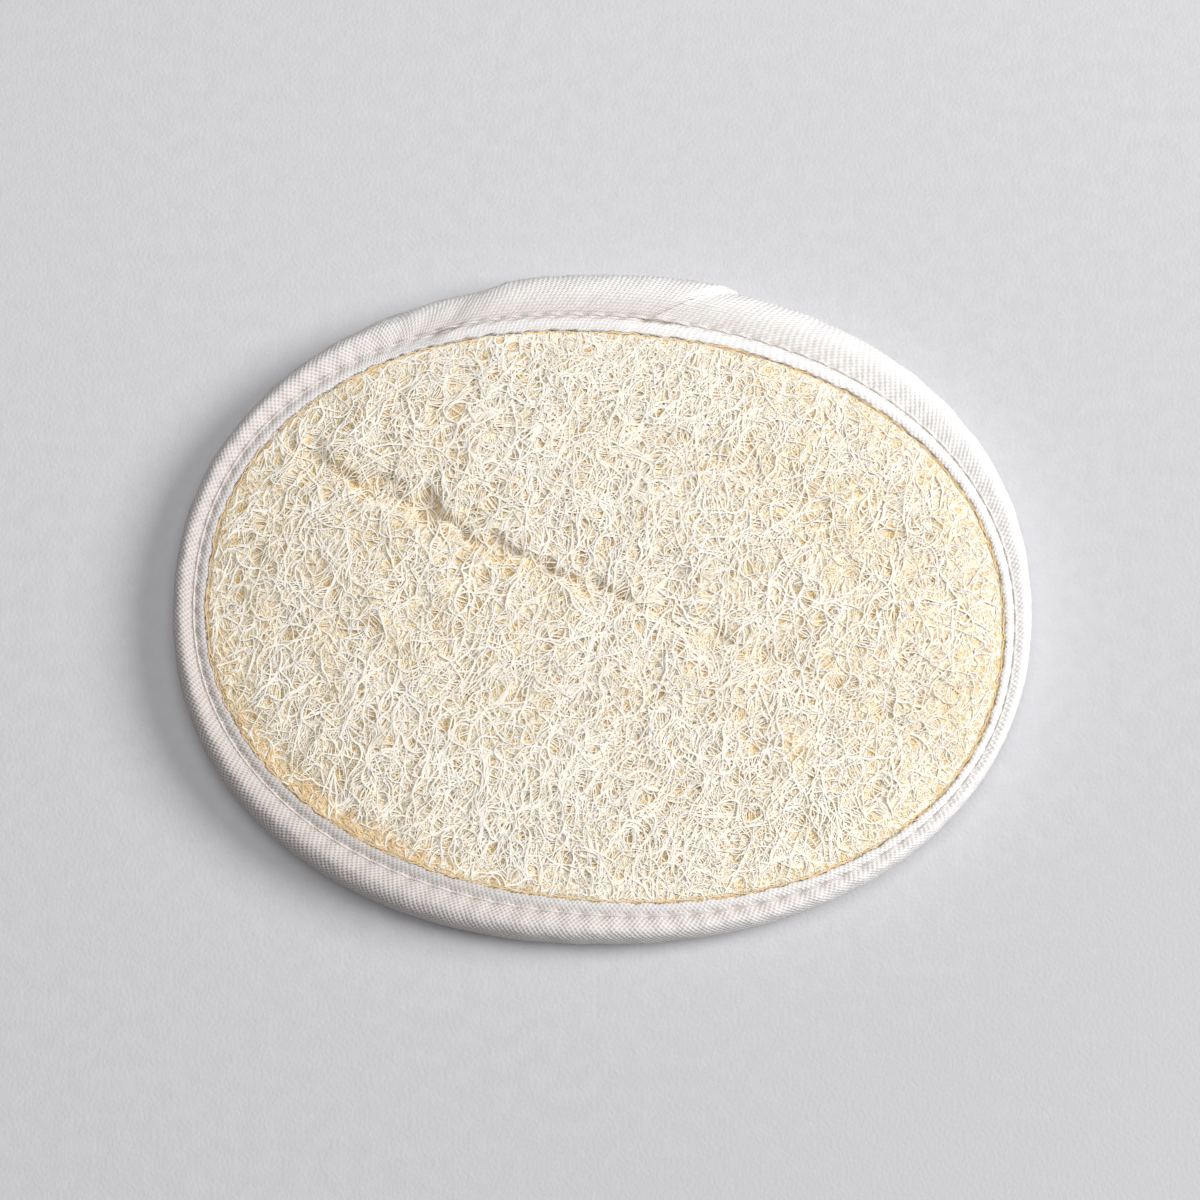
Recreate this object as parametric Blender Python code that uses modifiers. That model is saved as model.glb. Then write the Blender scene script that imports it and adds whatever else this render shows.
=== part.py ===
"""Oval loofah scrubbing pad: a pressed loofah web, bound all round with canvas tape.

The pad lies web side up on its terry back, in metres, with +Z up. X runs along its
length. The origin is on the surface it lies on, under the middle of its outline.
"""

import math
import random

import bmesh
import bpy
from mathutils import Matrix, Vector
from mathutils.geometry import delaunay_2d_cdt

MM = 0.001

# The bound outline, seen from above
PAD_LENGTH = 140.0 * MM
PAD_WIDTH = 110.4 * MM
OUTLINE_POWER = 2.14

# The window in the binding where the web shows. It isn't quite concentric.
BINDING_FACE_AT_ENDS = 5.2 * MM
BINDING_FACE_AT_SIDES = 8.1 * MM
WINDOW_POWER = 2.16
WINDOW_TURN = math.radians(-5.0)
WINDOW_SHIFT_X = 0.4 * MM
WINDOW_SHIFT_Y = -1.6 * MM

# Canvas binding tape and the row of lockstitch through it
CLEARANCE = 0.3 * MM
TAPE_THICKNESS = 0.7 * MM
STITCH_INSET = 1.2 * MM
STITCH_INSET_PER_WIDTH = 0.14
STITCH_PITCH = 3.5 * MM
THREAD_DIAMETER = 0.4 * MM
STITCH_RISE = 0.12 * MM
SEAM_SLOPE_ALLOWANCE = 0.15 * MM
LIP_RISE = 0.4 * MM
ROLL_RISE = 0.6 * MM
ROLL_RISE_PER_WIDTH = 0.12
LIP_EDGE_DROP = 0.15 * MM
BACK_LIP = 3.0 * MM
BACK_SEAM_HALF = 1.2 * MM
BINDING_OFF_FLOOR = 1.6 * MM

# The tape's ends overlap at the far side, the upper one cut on the slant
JOIN_START = math.radians(99.5)
JOIN_OVERLAP = 32.0 * MM
JOIN_SLANT = 1.3
JOIN_RAMP = 7.0 * MM
JOIN_UNSLANT = 38.0 * MM

# Hand strap of flat elastic across the back
STRAP_WIDTH = 25.0 * MM
STRAP_THICKNESS = 1.0 * MM
STRAP_OFF_FLOOR = 0.1 * MM
STRAP_MIDDLE_LENGTH = 36.0 * MM
STRAP_RISE_RUN = 6.0 * MM

# Terry back, foam core and loofah web
EDGE_INSET = 2.0 * MM
TERRY_OVER_STRAP = 1.0 * MM
TERRY_PAST_STRAP_RISE = 1.0 * MM
BACK_ROUND_RUN = 3.6 * MM
BACK_ROUND_RISE = 0.8 * MM
BACK_FLAT_RUN = 9.0 * MM
FOAM_THICKNESS = 6.0 * MM
FOAM_SHARE = 0.80
FOAM_EDGE_THICKNESS = 2.6 * MM
FOAM_EDGE_ROUND = 0.9 * MM
WEB_EDGE_THICKNESS = 1.1 * MM
WEB_THICKNESS = 7.0 * MM
CROWN_POWER = 3.4

# Folds pressed into the web: the long crease, a fainter one, and the sunk lower left edge
CREASE_DEPTH = 2.2 * MM
CREASE_REACH = 4.5 * MM
CREASE = [(-52.0, 28.0), (-28.0, 14.5), (-7.0, 3.0), (6.0, -1.2), (19.0, -7.0), (33.0, -13.0)]
SECOND_CREASE_DEPTH = 1.0 * MM
SECOND_CREASE = [(-9.0, 30.5), (16.0, 24.5), (41.0, 11.5), (53.0, 1.5)]
EDGE_HOLLOW_DEPTH = 1.6 * MM
EDGE_HOLLOW_TOWARDS = math.radians(222.0)
EDGE_HOLLOW_SHARE = 0.93
EDGE_HOLLOW_REACH = 0.05

# The web's net: long cells that lie along the fibres
FIBRE_DIRECTION = math.radians(64.0)
CELL_LENGTH = 9.6 * MM
CELL_WIDTH = 4.5 * MM
CELL_JITTER = 0.26
STRAND_WIDTH = 1.0 * MM
STRAND_SLOPE = 0.35 * MM
CELL_DEPTH = 1.3 * MM
NET_SHARE = 0.93
NET_SEED = 11

STATIONS = 60
THREAD_POINTS_PER_STITCH = 2

# Numbers of the tape section's points in the two seam grooves and farthest out
FACE_GROOVE = 3
FARTHEST_OUT = 8
BACK_GROOVE = -3

# Heights above the floor, from the strap up
STRAP_UNDER = STRAP_OFF_FLOOR
STRAP_TOP = STRAP_UNDER + STRAP_THICKNESS
BACK_SEAM_Z = BINDING_OFF_FLOOR + THREAD_DIAMETER + CLEARANCE + STITCH_RISE
CLAMP_UNDER = BACK_SEAM_Z + TAPE_THICKNESS + SEAM_SLOPE_ALLOWANCE + CLEARANCE
CLAMP_TOP = CLAMP_UNDER + STRAP_THICKNESS
TERRY_INSIDE = STRAP_TOP + CLEARANCE + TERRY_OVER_STRAP
TERRY_EDGE_TOP = CLAMP_TOP + CLEARANCE + TERRY_OVER_STRAP
FOAM_UNDER = TERRY_INSIDE + CLEARANCE
FOAM_TOP = FOAM_UNDER + FOAM_THICKNESS
WEB_UNDER = TERRY_EDGE_TOP + CLEARANCE
WEB_EDGE_TOP = WEB_UNDER + WEB_EDGE_THICKNESS
WEB_TOP = max(FOAM_TOP + CLEARANCE, WEB_UNDER) + WEB_THICKNESS
FACE_SEAM_Z = WEB_EDGE_TOP + CLEARANCE + SEAM_SLOPE_ALLOWANCE + TAPE_THICKNESS
FACE_LIP_Z = FACE_SEAM_Z + LIP_RISE
RIM_MIDDLE_Z = (BINDING_OFF_FLOOR + FACE_LIP_Z) / 2

WINDOW_CENTRE = Vector((WINDOW_SHIFT_X, WINDOW_SHIFT_Y))
JOIN_LAYER = TAPE_THICKNESS + CLEARANCE


def oval_point(angle, half_length, half_width, power):
    """Point of a rounded oval at this polar angle."""
    along, aside = math.cos(angle), math.sin(angle)
    reach = (abs(along / half_length) ** power + abs(aside / half_width) ** power) ** (-1 / power)
    return Vector((reach * along, reach * aside))


def outline_point(angle):
    """Point of the pad's outer edge."""
    return oval_point(angle, PAD_LENGTH / 2, PAD_WIDTH / 2, OUTLINE_POWER)


def window_point(angle, share=1.0):
    """Point at this share of the way from the window's middle to its edge."""
    half_length = PAD_LENGTH / 2 - BINDING_FACE_AT_ENDS
    half_width = PAD_WIDTH / 2 - BINDING_FACE_AT_SIDES
    point = oval_point(angle - WINDOW_TURN, half_length, half_width, WINDOW_POWER)
    point.rotate(Matrix.Rotation(WINDOW_TURN, 2))
    return WINDOW_CENTRE + point * share


def face_width(angle):
    """Width of the tape on the face, from the outer edge to the window."""
    return (window_point(angle) - outline_point(angle)).length


def seam_inward(angle):
    """How far inside the outer edge the stitches run."""
    width = face_width(angle)
    return width - STITCH_INSET - STITCH_INSET_PER_WIDTH * width


def past_back_lip(angle):
    """How far inside the outer edge the back clears the tape's edge."""
    return seam_inward(angle) + BACK_LIP + 2 * CLEARANCE


def rim_point(angle, inward):
    """Point this far inside the outer edge, towards the window's edge."""
    outer = outline_point(angle)
    across = (window_point(angle) - outer).normalized()
    return outer + across * inward


def smooth_step(value):
    """0 below 0, 1 above 1, and a smooth rise between."""
    value = min(max(value, 0.0), 1.0)
    return value * value * (3 - 2 * value)


def tape_section(angle):
    """The tape's outer skin at one angle, as (inward, height), face edge to back edge."""
    width = face_width(angle)
    seam = seam_inward(angle)
    lip = width - seam
    rise = ROLL_RISE + ROLL_RISE_PER_WIDTH * seam
    face = [
        (width, FACE_LIP_Z - LIP_EDGE_DROP),
        (width - 0.3 * lip, FACE_LIP_Z),
        (seam + 0.4 * lip, FACE_LIP_Z - 0.3 * LIP_RISE),
        (seam, FACE_SEAM_Z),
        (0.8 * seam, FACE_SEAM_Z + 0.4 * rise),
    ]
    over = quarter_round(0.5 * seam, RIM_MIDDLE_Z, FACE_SEAM_Z + rise, (90, 62, 35, 0))
    under = quarter_round(0.4 * seam, RIM_MIDDLE_Z, BINDING_OFF_FLOOR, (35, 62, 90))
    back = [
        (0.6 * seam, BINDING_OFF_FLOOR),
        (seam, BACK_SEAM_Z),
        (seam + BACK_SEAM_HALF, BINDING_OFF_FLOOR),
        (seam + BACK_LIP, BINDING_OFF_FLOOR),
    ]
    return face + over + under + back


def quarter_round(inward, middle, end, degrees):
    """Points of a quarter oval from the rim's outermost line to this height."""
    turns = [math.radians(d) for d in degrees]
    return [(inward * (1 - math.cos(t)), middle + (end - middle) * math.sin(t)) for t in turns]


def lifted(section, lift):
    """The section moved outwards by this much, square to itself."""
    moved = []
    for i, (inward, height) in enumerate(section):
        before = section[max(i - 1, 0)]
        after = section[min(i + 1, len(section) - 1)]
        run = Vector((after[0] - before[0], after[1] - before[1])).normalized()
        moved.append((inward + lift * run.y, height - lift * run.x))
    return moved


def slants(angle):
    """How far round each point of the section moves where the tape's end is cut slanted."""
    section = tape_section(angle)
    lengths = [0.0]
    for a, b in zip(section, section[1:]):
        lengths.append(lengths[-1] + math.dist(a, b))
    out = outline_point(angle).length
    return [JOIN_SLANT * (length - lengths[FARTHEST_OUT]) / out for length in lengths]


def edge_length():
    """Length of the pad's outer edge."""
    points = [outline_point(math.tau * i / 360) for i in range(360)]
    return sum((b - a).length for a, b in zip(points, points[1:] + points[:1]))


def outline_walk(start, distance):
    """Polar angle reached by walking clockwise along the outer edge from the angle start."""
    step = math.radians(0.25)
    angle = start
    here = outline_point(angle)
    left = distance
    while left > 0:
        there = outline_point(angle - step)
        left -= (there - here).length
        angle -= step
        here = there
    return angle


def new_object(name, mesh, home):
    """An object for this mesh in the collection home."""
    body = bpy.data.objects.new(name, mesh)
    home.objects.link(body)
    return body


def mesh_from(bm, name):
    """A Blender mesh from the bmesh, which is freed."""
    mesh = bpy.data.meshes.new(name)
    bm.to_mesh(mesh)
    bm.free()
    return mesh


def skinned_mesh(name, rows, closed):
    """A mesh skinned over rows of points, with flat ends on the first and last if closed."""
    bm = bmesh.new()
    rings = [[bm.verts.new(point) for point in row] for row in rows]
    count = len(rings[0])
    for ring, following in zip(rings, rings[1:]):
        for i in range(count if closed else count - 1):
            j = (i + 1) % count
            bm.faces.new((ring[i], ring[j], following[j], following[i]))
    if closed:
        bm.faces.new(reversed(rings[0]))
        bm.faces.new(rings[-1])
    return mesh_from(bm, name)


def ring_at(place, height):
    """A closed row of points at one height, place giving the flat point at each angle."""
    angles = [math.tau * i / STATIONS for i in range(STATIONS)]
    return [(*place(angle), height) for angle in angles]


def make_tape(home):
    """The binding tape: one long strip folded over the edge, its ends overlapping."""
    around = edge_length()
    total = around + JOIN_OVERLAP
    count = round(STATIONS * total / around)
    rows = []
    for i in range(count + 1):
        walked = total * i / count
        angle = outline_walk(JOIN_START, walked)
        on_top = smooth_step((walked - (around - 1.5 * JOIN_RAMP)) / JOIN_RAMP)
        near_end = smooth_step((walked - (around - JOIN_UNSLANT)) / JOIN_UNSLANT)
        near_start = 1 - smooth_step((walked - JOIN_OVERLAP) / JOIN_UNSLANT)
        row = []
        for k, slant in enumerate(slants(angle)):
            turned = angle - slant * max(near_end, near_start)
            inward, height = lifted(tape_section(turned), on_top * JOIN_LAYER)[k]
            row.append((*rim_point(turned, inward), height))
        rows.append(row[::-1])
    body = new_object("binding_tape", skinned_mesh("binding_tape", rows, closed=False), home)
    wall = body.modifiers.new("tape_thickness", "SOLIDIFY")
    wall.thickness = TAPE_THICKNESS
    wall.offset = -1
    wall.use_even_offset = True
    return body


def seam_lift(angle, groove):
    """How far the stitches stand out where they cross the tape's overlap.

    groove is the number of the section's point that lies in the seam's groove.
    """
    past = (JOIN_START - angle - slants(angle)[groove] + math.pi) % math.tau - math.pi
    walked = past * outline_point(angle).length
    up = smooth_step((walked + 2 * JOIN_RAMP) / JOIN_RAMP)
    down = smooth_step((walked - JOIN_OVERLAP - JOIN_RAMP / 3) / JOIN_RAMP)
    return JOIN_LAYER * up * (1 - down)


def make_thread(name, home, middle_z, outwards, groove):
    """One thread of the lockstitch row, a closed wavy ring along the seam.

    outwards is 1 on the face, where the thread stands up from the tape, and -1 on the back.
    """
    fine = [math.tau * i / 720 for i in range(720)]
    line = [rim_point(angle, seam_inward(angle)) for angle in fine]
    steps = [(b - a).length for a, b in zip(line, line[1:] + line[:1])]
    stitches = round(sum(steps) / STITCH_PITCH)
    count = stitches * THREAD_POINTS_PER_STITCH
    curve = bpy.data.curves.new(name, "CURVE")
    curve.dimensions = "3D"
    curve.bevel_depth = THREAD_DIAMETER / 2
    curve.bevel_resolution = 0
    spline = curve.splines.new("POLY")
    spline.points.add(count - 1)
    spline.use_cyclic_u = True
    total = sum(steps)
    walked, k = 0.0, 0
    for i in range(count):
        while walked + steps[k] < total * i / count:
            walked += steps[k]
            k += 1
        share = (total * i / count - walked) / steps[k]
        angle = fine[k] + share * math.tau / 720
        spot = rim_point(angle, seam_inward(angle))
        rise = STITCH_RISE if i % THREAD_POINTS_PER_STITCH else 0.0
        height = middle_z + outwards * (rise + seam_lift(angle, groove))
        spline.points[i].co = (*spot, height, 1.0)
    body = bpy.data.objects.new(name, curve)
    home.objects.link(body)
    return body


def strap_reach(side, inward_of):
    """Least distance from the middle line, across the strap's width, of a line in the rim."""
    reach = []
    for i in range(720):
        angle = math.tau * i / 720
        spot = rim_point(angle, inward_of(angle))
        if abs(spot.x) <= STRAP_WIDTH / 2 + CLEARANCE and spot.y * side > 0:
            reach.append(abs(spot.y))
    return min(reach)


def strap_path(side):
    """(distance from the middle line, height) along the strap's underside, on one side."""
    lip = strap_reach(side, past_back_lip)
    end = strap_reach(side, lambda angle: EDGE_INSET + CLEARANCE)
    return [(lip - STRAP_RISE_RUN, STRAP_UNDER), (lip, CLAMP_UNDER), (end, CLAMP_UNDER)]


def band_mesh(name, under, over, width):
    """A band of this width, between two lines given as (y, z)."""
    bm = bmesh.new()
    ring = [bm.verts.new((-width / 2, y, z)) for y, z in under + over[::-1]]
    side = bm.faces.new(ring)
    pushed = bmesh.ops.extrude_face_region(bm, geom=[side], use_keep_orig=True)
    moved = [v for v in pushed["geom"] if isinstance(v, bmesh.types.BMVert)]
    bmesh.ops.translate(bm, verts=moved, vec=(width, 0, 0))
    bmesh.ops.recalc_face_normals(bm, faces=bm.faces)
    return mesh_from(bm, name)


def make_strap_end(name, side, home):
    """One end of the strap, from beside its middle to where the binding holds it."""
    path = [(STRAP_MIDDLE_LENGTH / 2 + CLEARANCE, STRAP_UNDER)] + strap_path(side)
    under = [(side * y, z) for y, z in path]
    over = [(y, z + STRAP_THICKNESS) for y, z in under]
    return new_object(name, band_mesh(name, under, over, STRAP_WIDTH), home)


def make_strap_middle(home):
    """The middle of the strap, hung on an empty that stands for its lift."""
    half = STRAP_MIDDLE_LENGTH / 2
    under = [(-half, -STRAP_THICKNESS / 2), (half, -STRAP_THICKNESS / 2)]
    over = [(-half, STRAP_THICKNESS / 2), (half, STRAP_THICKNESS / 2)]
    body = new_object("strap_middle", band_mesh("strap_middle", under, over, STRAP_WIDTH), home)
    lift = bpy.data.objects.new("strap_lift_axis", None)
    lift.location = (0, 0, (STRAP_UNDER + STRAP_TOP) / 2)
    home.objects.link(lift)
    body.parent = lift
    return body


def make_terry(home, cutters):
    """The terry back, a shallow dish whose edge is held in the binding."""
    def at_edge(angle):
        return rim_point(angle, EDGE_INSET)

    def inside_lip(run):
        return lambda angle: rim_point(angle, past_back_lip(angle) + run)

    past_strap = TERRY_PAST_STRAP_RISE
    rows = [
        ring_at(inside_lip(BACK_FLAT_RUN), 0.0),
        ring_at(inside_lip(BACK_ROUND_RUN), BACK_ROUND_RISE),
        ring_at(inside_lip(0.0), CLAMP_UNDER),
        ring_at(at_edge, CLAMP_UNDER),
        ring_at(at_edge, TERRY_EDGE_TOP),
        ring_at(inside_lip(past_strap), TERRY_EDGE_TOP),
        ring_at(inside_lip(STRAP_RISE_RUN + 2 * past_strap), TERRY_INSIDE),
    ]
    body = new_object("terry_back", skinned_mesh("terry_back", rows, closed=True), home)
    far = [(y, z + STRAP_THICKNESS + CLEARANCE) for y, z in strap_path(1)]
    near = [(-y, z + STRAP_THICKNESS + CLEARANCE) for y, z in strap_path(-1)]
    beyond = PAD_WIDTH / 2
    over = [(-beyond, near[-1][1])] + near[::-1] + far + [(beyond, far[-1][1])]
    under = [(-beyond, -STRAP_THICKNESS), (beyond, -STRAP_THICKNESS)]
    channel = band_mesh("strap_channel", under, over, STRAP_WIDTH + 2 * CLEARANCE)
    cut(body, new_object("strap_channel", channel, cutters))
    return body


def cut(body, cutter):
    """Cuts the cutter out of the body."""
    cutter.hide_render = True
    cutter.display_type = "WIRE"
    trim = body.modifiers.new("cut_" + cutter.name, "BOOLEAN")
    trim.operation = "DIFFERENCE"
    trim.object = cutter


def foam_mesh(name, grow):
    """The foam lens, or with grow the room that it needs."""
    def at(share):
        return lambda angle: window_point(angle, share + grow / (PAD_WIDTH / 2))

    edge_under = FOAM_UNDER + FOAM_EDGE_ROUND
    crown = FOAM_THICKNESS - FOAM_EDGE_ROUND - FOAM_EDGE_THICKNESS
    edge_top = edge_under + FOAM_EDGE_THICKNESS
    rows = [
        ring_at(at(FOAM_SHARE - 0.04), FOAM_UNDER - grow),
        ring_at(at(FOAM_SHARE), edge_under),
        ring_at(at(FOAM_SHARE), edge_top + grow),
        ring_at(at(FOAM_SHARE - 0.10), edge_top + 0.6 * crown + grow),
        ring_at(at(FOAM_SHARE - 0.34), FOAM_TOP + grow),
    ]
    return skinned_mesh(name, rows, closed=True)


def window_share(point):
    """How far out in the window a flat point lies: 0 at its middle, 1 at its edge."""
    out = point - WINDOW_CENTRE
    if out.length < MM:
        return 0.0
    return out.length / (window_point(math.atan2(out.y, out.x)) - WINDOW_CENTRE).length


def distance_to(point, line):
    """Least distance from a flat point to a line of points given in millimetres."""
    least = math.inf
    for a, b in zip(line, line[1:]):
        start, end = Vector(a) * MM, Vector(b) * MM
        run = end - start
        share = min(max((point - start).dot(run) / run.length_squared, 0.0), 1.0)
        least = min(least, (point - start - run * share).length)
    return least


def web_height(point):
    """Height of the web's top over a flat point: a crown with pressed folds."""
    share = window_share(point)
    if share >= 1.0:
        return WEB_EDGE_TOP
    crown = 1 - share**CROWN_POWER
    height = WEB_EDGE_TOP + (WEB_TOP - WEB_EDGE_TOP) * crown
    out = point - WINDOW_CENTRE
    towards = max(math.cos(math.atan2(out.y, out.x) - EDGE_HOLLOW_TOWARDS), 0.0) ** 2
    hollow = math.exp(-(((share - EDGE_HOLLOW_SHARE) / EDGE_HOLLOW_REACH) ** 2)) * towards
    crease = math.exp(-((distance_to(point, CREASE) / CREASE_REACH) ** 2))
    second = math.exp(-((distance_to(point, SECOND_CREASE) / CREASE_REACH) ** 2))
    sunk = CREASE_DEPTH * crease + SECOND_CREASE_DEPTH * second
    return height - (sunk + EDGE_HOLLOW_DEPTH * hollow) * min(3 * crown, 1.0)


def net_points():
    """Flat points where the web's strands meet, in staggered rows along the fibres."""
    rng = random.Random(NET_SEED)
    along = Vector((math.cos(FIBRE_DIRECTION), math.sin(FIBRE_DIRECTION)))
    across = Vector((-along.y, along.x))
    reach = PAD_LENGTH / 2
    rows = math.ceil(reach / CELL_WIDTH)
    columns = math.ceil(reach / CELL_LENGTH)
    points = []
    for row in range(-rows, rows + 1):
        for column in range(-columns, columns + 1):
            u = column + 0.5 * (row % 2) + rng.uniform(-CELL_JITTER, CELL_JITTER)
            v = row + rng.uniform(-CELL_JITTER, CELL_JITTER)
            point = WINDOW_CENTRE + along * u * CELL_LENGTH + across * v * CELL_WIDTH
            if window_share(point) < NET_SHARE:
                points.append(point)
    return points


def net_mesh(name):
    """The web: a crowned slab whose top is a net of long sunk cells."""
    edge = [rim_point(math.tau * i / STATIONS, EDGE_INSET) for i in range(STATIONS)]
    inner = [window_point(math.tau * i / STATIONS) for i in range(STATIONS)]
    points = edge + inner + net_points()
    loops = [[(i, (i + 1) % STATIONS) for i in range(STATIONS)]]
    loops.append([(a + STATIONS, b + STATIONS) for a, b in loops[0]])
    squeeze = Matrix.Scale(CELL_WIDTH / CELL_LENGTH, 2, (1, 0)) @ Matrix.Rotation(-FIBRE_DIRECTION, 2)
    squeezed = [squeeze @ point for point in points]
    found = delaunay_2d_cdt(squeezed, loops[0] + loops[1], [], 0, 1e-7)
    unsqueeze = squeeze.inverted()
    bm = bmesh.new()
    verts = [bm.verts.new((*(unsqueeze @ Vector(co)), WEB_UNDER)) for co in found[0]]
    for corners in found[2]:
        bm.faces.new([verts[i] for i in corners])
    cells = [f for f in bm.faces if all(window_share(v.co.xy) < 1 + 1e-4 for v in f.verts)]
    bmesh.ops.join_triangles(
        bm, faces=cells, angle_face_threshold=math.pi, angle_shape_threshold=math.pi
    )
    raised = bmesh.ops.extrude_face_region(bm, geom=bm.faces[:], use_keep_orig=True)
    top = [g for g in raised["geom"] if isinstance(g, bmesh.types.BMFace)]
    over = {v for f in top for v in f.verts}
    under = [f for f in bm.faces if not any(v in over for v in f.verts)]
    bmesh.ops.dissolve_faces(bm, faces=under)
    for v in over:
        v.co.z = web_height(v.co.xy)
    cells = [
        f
        for f in top
        if all(window_share(v.co.xy) < 1 + 1e-4 for v in f.verts)
        and 2 * f.calc_area() / f.calc_perimeter() > STRAND_WIDTH / 2 + STRAND_SLOPE
    ]
    bmesh.ops.inset_individual(bm, faces=cells, thickness=STRAND_WIDTH / 2, use_even_offset=True)
    bmesh.ops.inset_individual(bm, faces=cells, thickness=STRAND_SLOPE, use_even_offset=True)
    for cell in cells:
        for v in cell.verts:
            v.co.z -= min(CELL_DEPTH, (v.co.z - WEB_UNDER) / 2)
    bmesh.ops.recalc_face_normals(bm, faces=bm.faces)
    print("loofah web:", len(cells), "cells")
    return mesh_from(bm, name)


def finish(body, colour, roughness):
    """Gives the piece its own plain finish."""
    look = bpy.data.materials.new(body.name + "_finish")
    look.use_nodes = True
    shader = look.node_tree.nodes["Principled BSDF"]
    shader.inputs["Base Color"].default_value = (*colour, 1.0)
    shader.inputs["Roughness"].default_value = roughness
    shader.inputs["Metallic"].default_value = 0.0
    body.data.materials.append(look)


def main():
    for old in list(bpy.data.objects):
        bpy.data.objects.remove(old)
    home = bpy.data.collections.new("loofah_pad")
    cutters = bpy.data.collections.new("loofah_pad_cutters")
    for group in (home, cutters):
        bpy.context.scene.collection.children.link(group)

    web = new_object("loofah_web", net_mesh("loofah_web"), home)
    cut(web, new_object("foam_room", foam_mesh("foam_room", CLEARANCE), cutters))
    finish(web, (0.72, 0.63, 0.48), 0.85)

    finish(new_object("foam_core", foam_mesh("foam_core", 0.0), home), (0.80, 0.74, 0.52), 0.9)
    finish(make_terry(home, cutters), (0.78, 0.75, 0.69), 0.95)

    tape = make_tape(home)
    tape.data.shade_smooth()
    finish(tape, (0.78, 0.76, 0.72), 0.85)

    thread_gap = CLEARANCE + THREAD_DIAMETER / 2
    face_z = FACE_SEAM_Z + thread_gap
    face_thread = make_thread("stitches_face", home, face_z, 1, FACE_GROOVE)
    finish(face_thread, (0.80, 0.78, 0.74), 0.7)
    back_z = BACK_SEAM_Z - thread_gap
    back_thread = make_thread("stitches_back", home, back_z, -1, BACK_GROOVE)
    finish(back_thread, (0.80, 0.78, 0.74), 0.7)

    finish(make_strap_middle(home), (0.80, 0.78, 0.73), 0.8)
    finish(make_strap_end("strap_end_far", 1, home), (0.80, 0.78, 0.73), 0.8)
    finish(make_strap_end("strap_end_near", -1, home), (0.80, 0.78, 0.73), 0.8)


main()
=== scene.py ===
# %% [markdown]
# # An oval loofah scrubbing pad
# A pad of pressed loofah fibre, bound all round with canvas tape, lies face up on pale
# paper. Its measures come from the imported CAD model, which is loaded first as a fixed
# frame. Every piece below is built around that frame, in metres and in the same place.

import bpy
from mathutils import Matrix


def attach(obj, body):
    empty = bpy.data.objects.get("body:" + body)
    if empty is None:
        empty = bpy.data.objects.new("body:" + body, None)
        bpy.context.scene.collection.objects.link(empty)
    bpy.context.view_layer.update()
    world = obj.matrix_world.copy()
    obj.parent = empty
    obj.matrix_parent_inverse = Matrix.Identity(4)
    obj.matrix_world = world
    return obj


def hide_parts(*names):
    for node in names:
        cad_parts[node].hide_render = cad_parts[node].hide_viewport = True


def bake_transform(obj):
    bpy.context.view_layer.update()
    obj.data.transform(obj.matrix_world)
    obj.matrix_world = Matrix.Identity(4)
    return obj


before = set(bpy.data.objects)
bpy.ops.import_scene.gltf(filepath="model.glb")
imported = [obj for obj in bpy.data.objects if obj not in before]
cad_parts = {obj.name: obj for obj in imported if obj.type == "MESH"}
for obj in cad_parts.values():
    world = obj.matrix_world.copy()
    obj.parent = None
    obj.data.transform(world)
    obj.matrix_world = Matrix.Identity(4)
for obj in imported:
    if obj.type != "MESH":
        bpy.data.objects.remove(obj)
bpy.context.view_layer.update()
print("nodes:", ", ".join(sorted(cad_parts)))

# %% Tools of the trade
import math

import bmesh
import bpy
import numpy as np
from mathutils import Vector

MM = 0.001
TAU = math.tau
SCENE = bpy.context.scene

# %% [markdown]
# ## The camera
# The photo looks almost straight down, from about 78 degrees above the paper, so the
# camera comes first and every later choice is made through it. A lens of 85 mm on a
# 36 mm sensor keeps the oval free of distortion. Its distance follows from the width of
# paper that the frame takes in.

# %% Camera
PHOTO_ELEVATION = math.radians(78.0)
PAPER_IN_FRAME = 196.1 * MM
LENS, SENSOR = 85.0, 36.0
AIM = Vector((-0.36, 0.84, 5.2)) * MM

eye = bpy.data.cameras.new("photo_camera")
eye.lens, eye.sensor_width = LENS, SENSOR
eye.clip_start, eye.clip_end = 0.01, 20.0
camera = bpy.data.objects.new("photo_camera", eye)
back = Vector((0.0, -math.cos(PHOTO_ELEVATION), math.sin(PHOTO_ELEVATION)))
camera.location = AIM + back * (PAPER_IN_FRAME * LENS / SENSOR)
camera.rotation_euler = (-back).to_track_quat("-Z", "Y").to_euler()
SCENE.collection.objects.link(camera)
SCENE.camera = camera
print("camera stands", round(camera.location.z * 100), "cm above the paper")

# %% [markdown]
# ## Materials
# Each finish is a small net of shader nodes. This helper starts one and hands out its
# nodes, so that the finishes below stay short. Colours are written in linear light.


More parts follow.
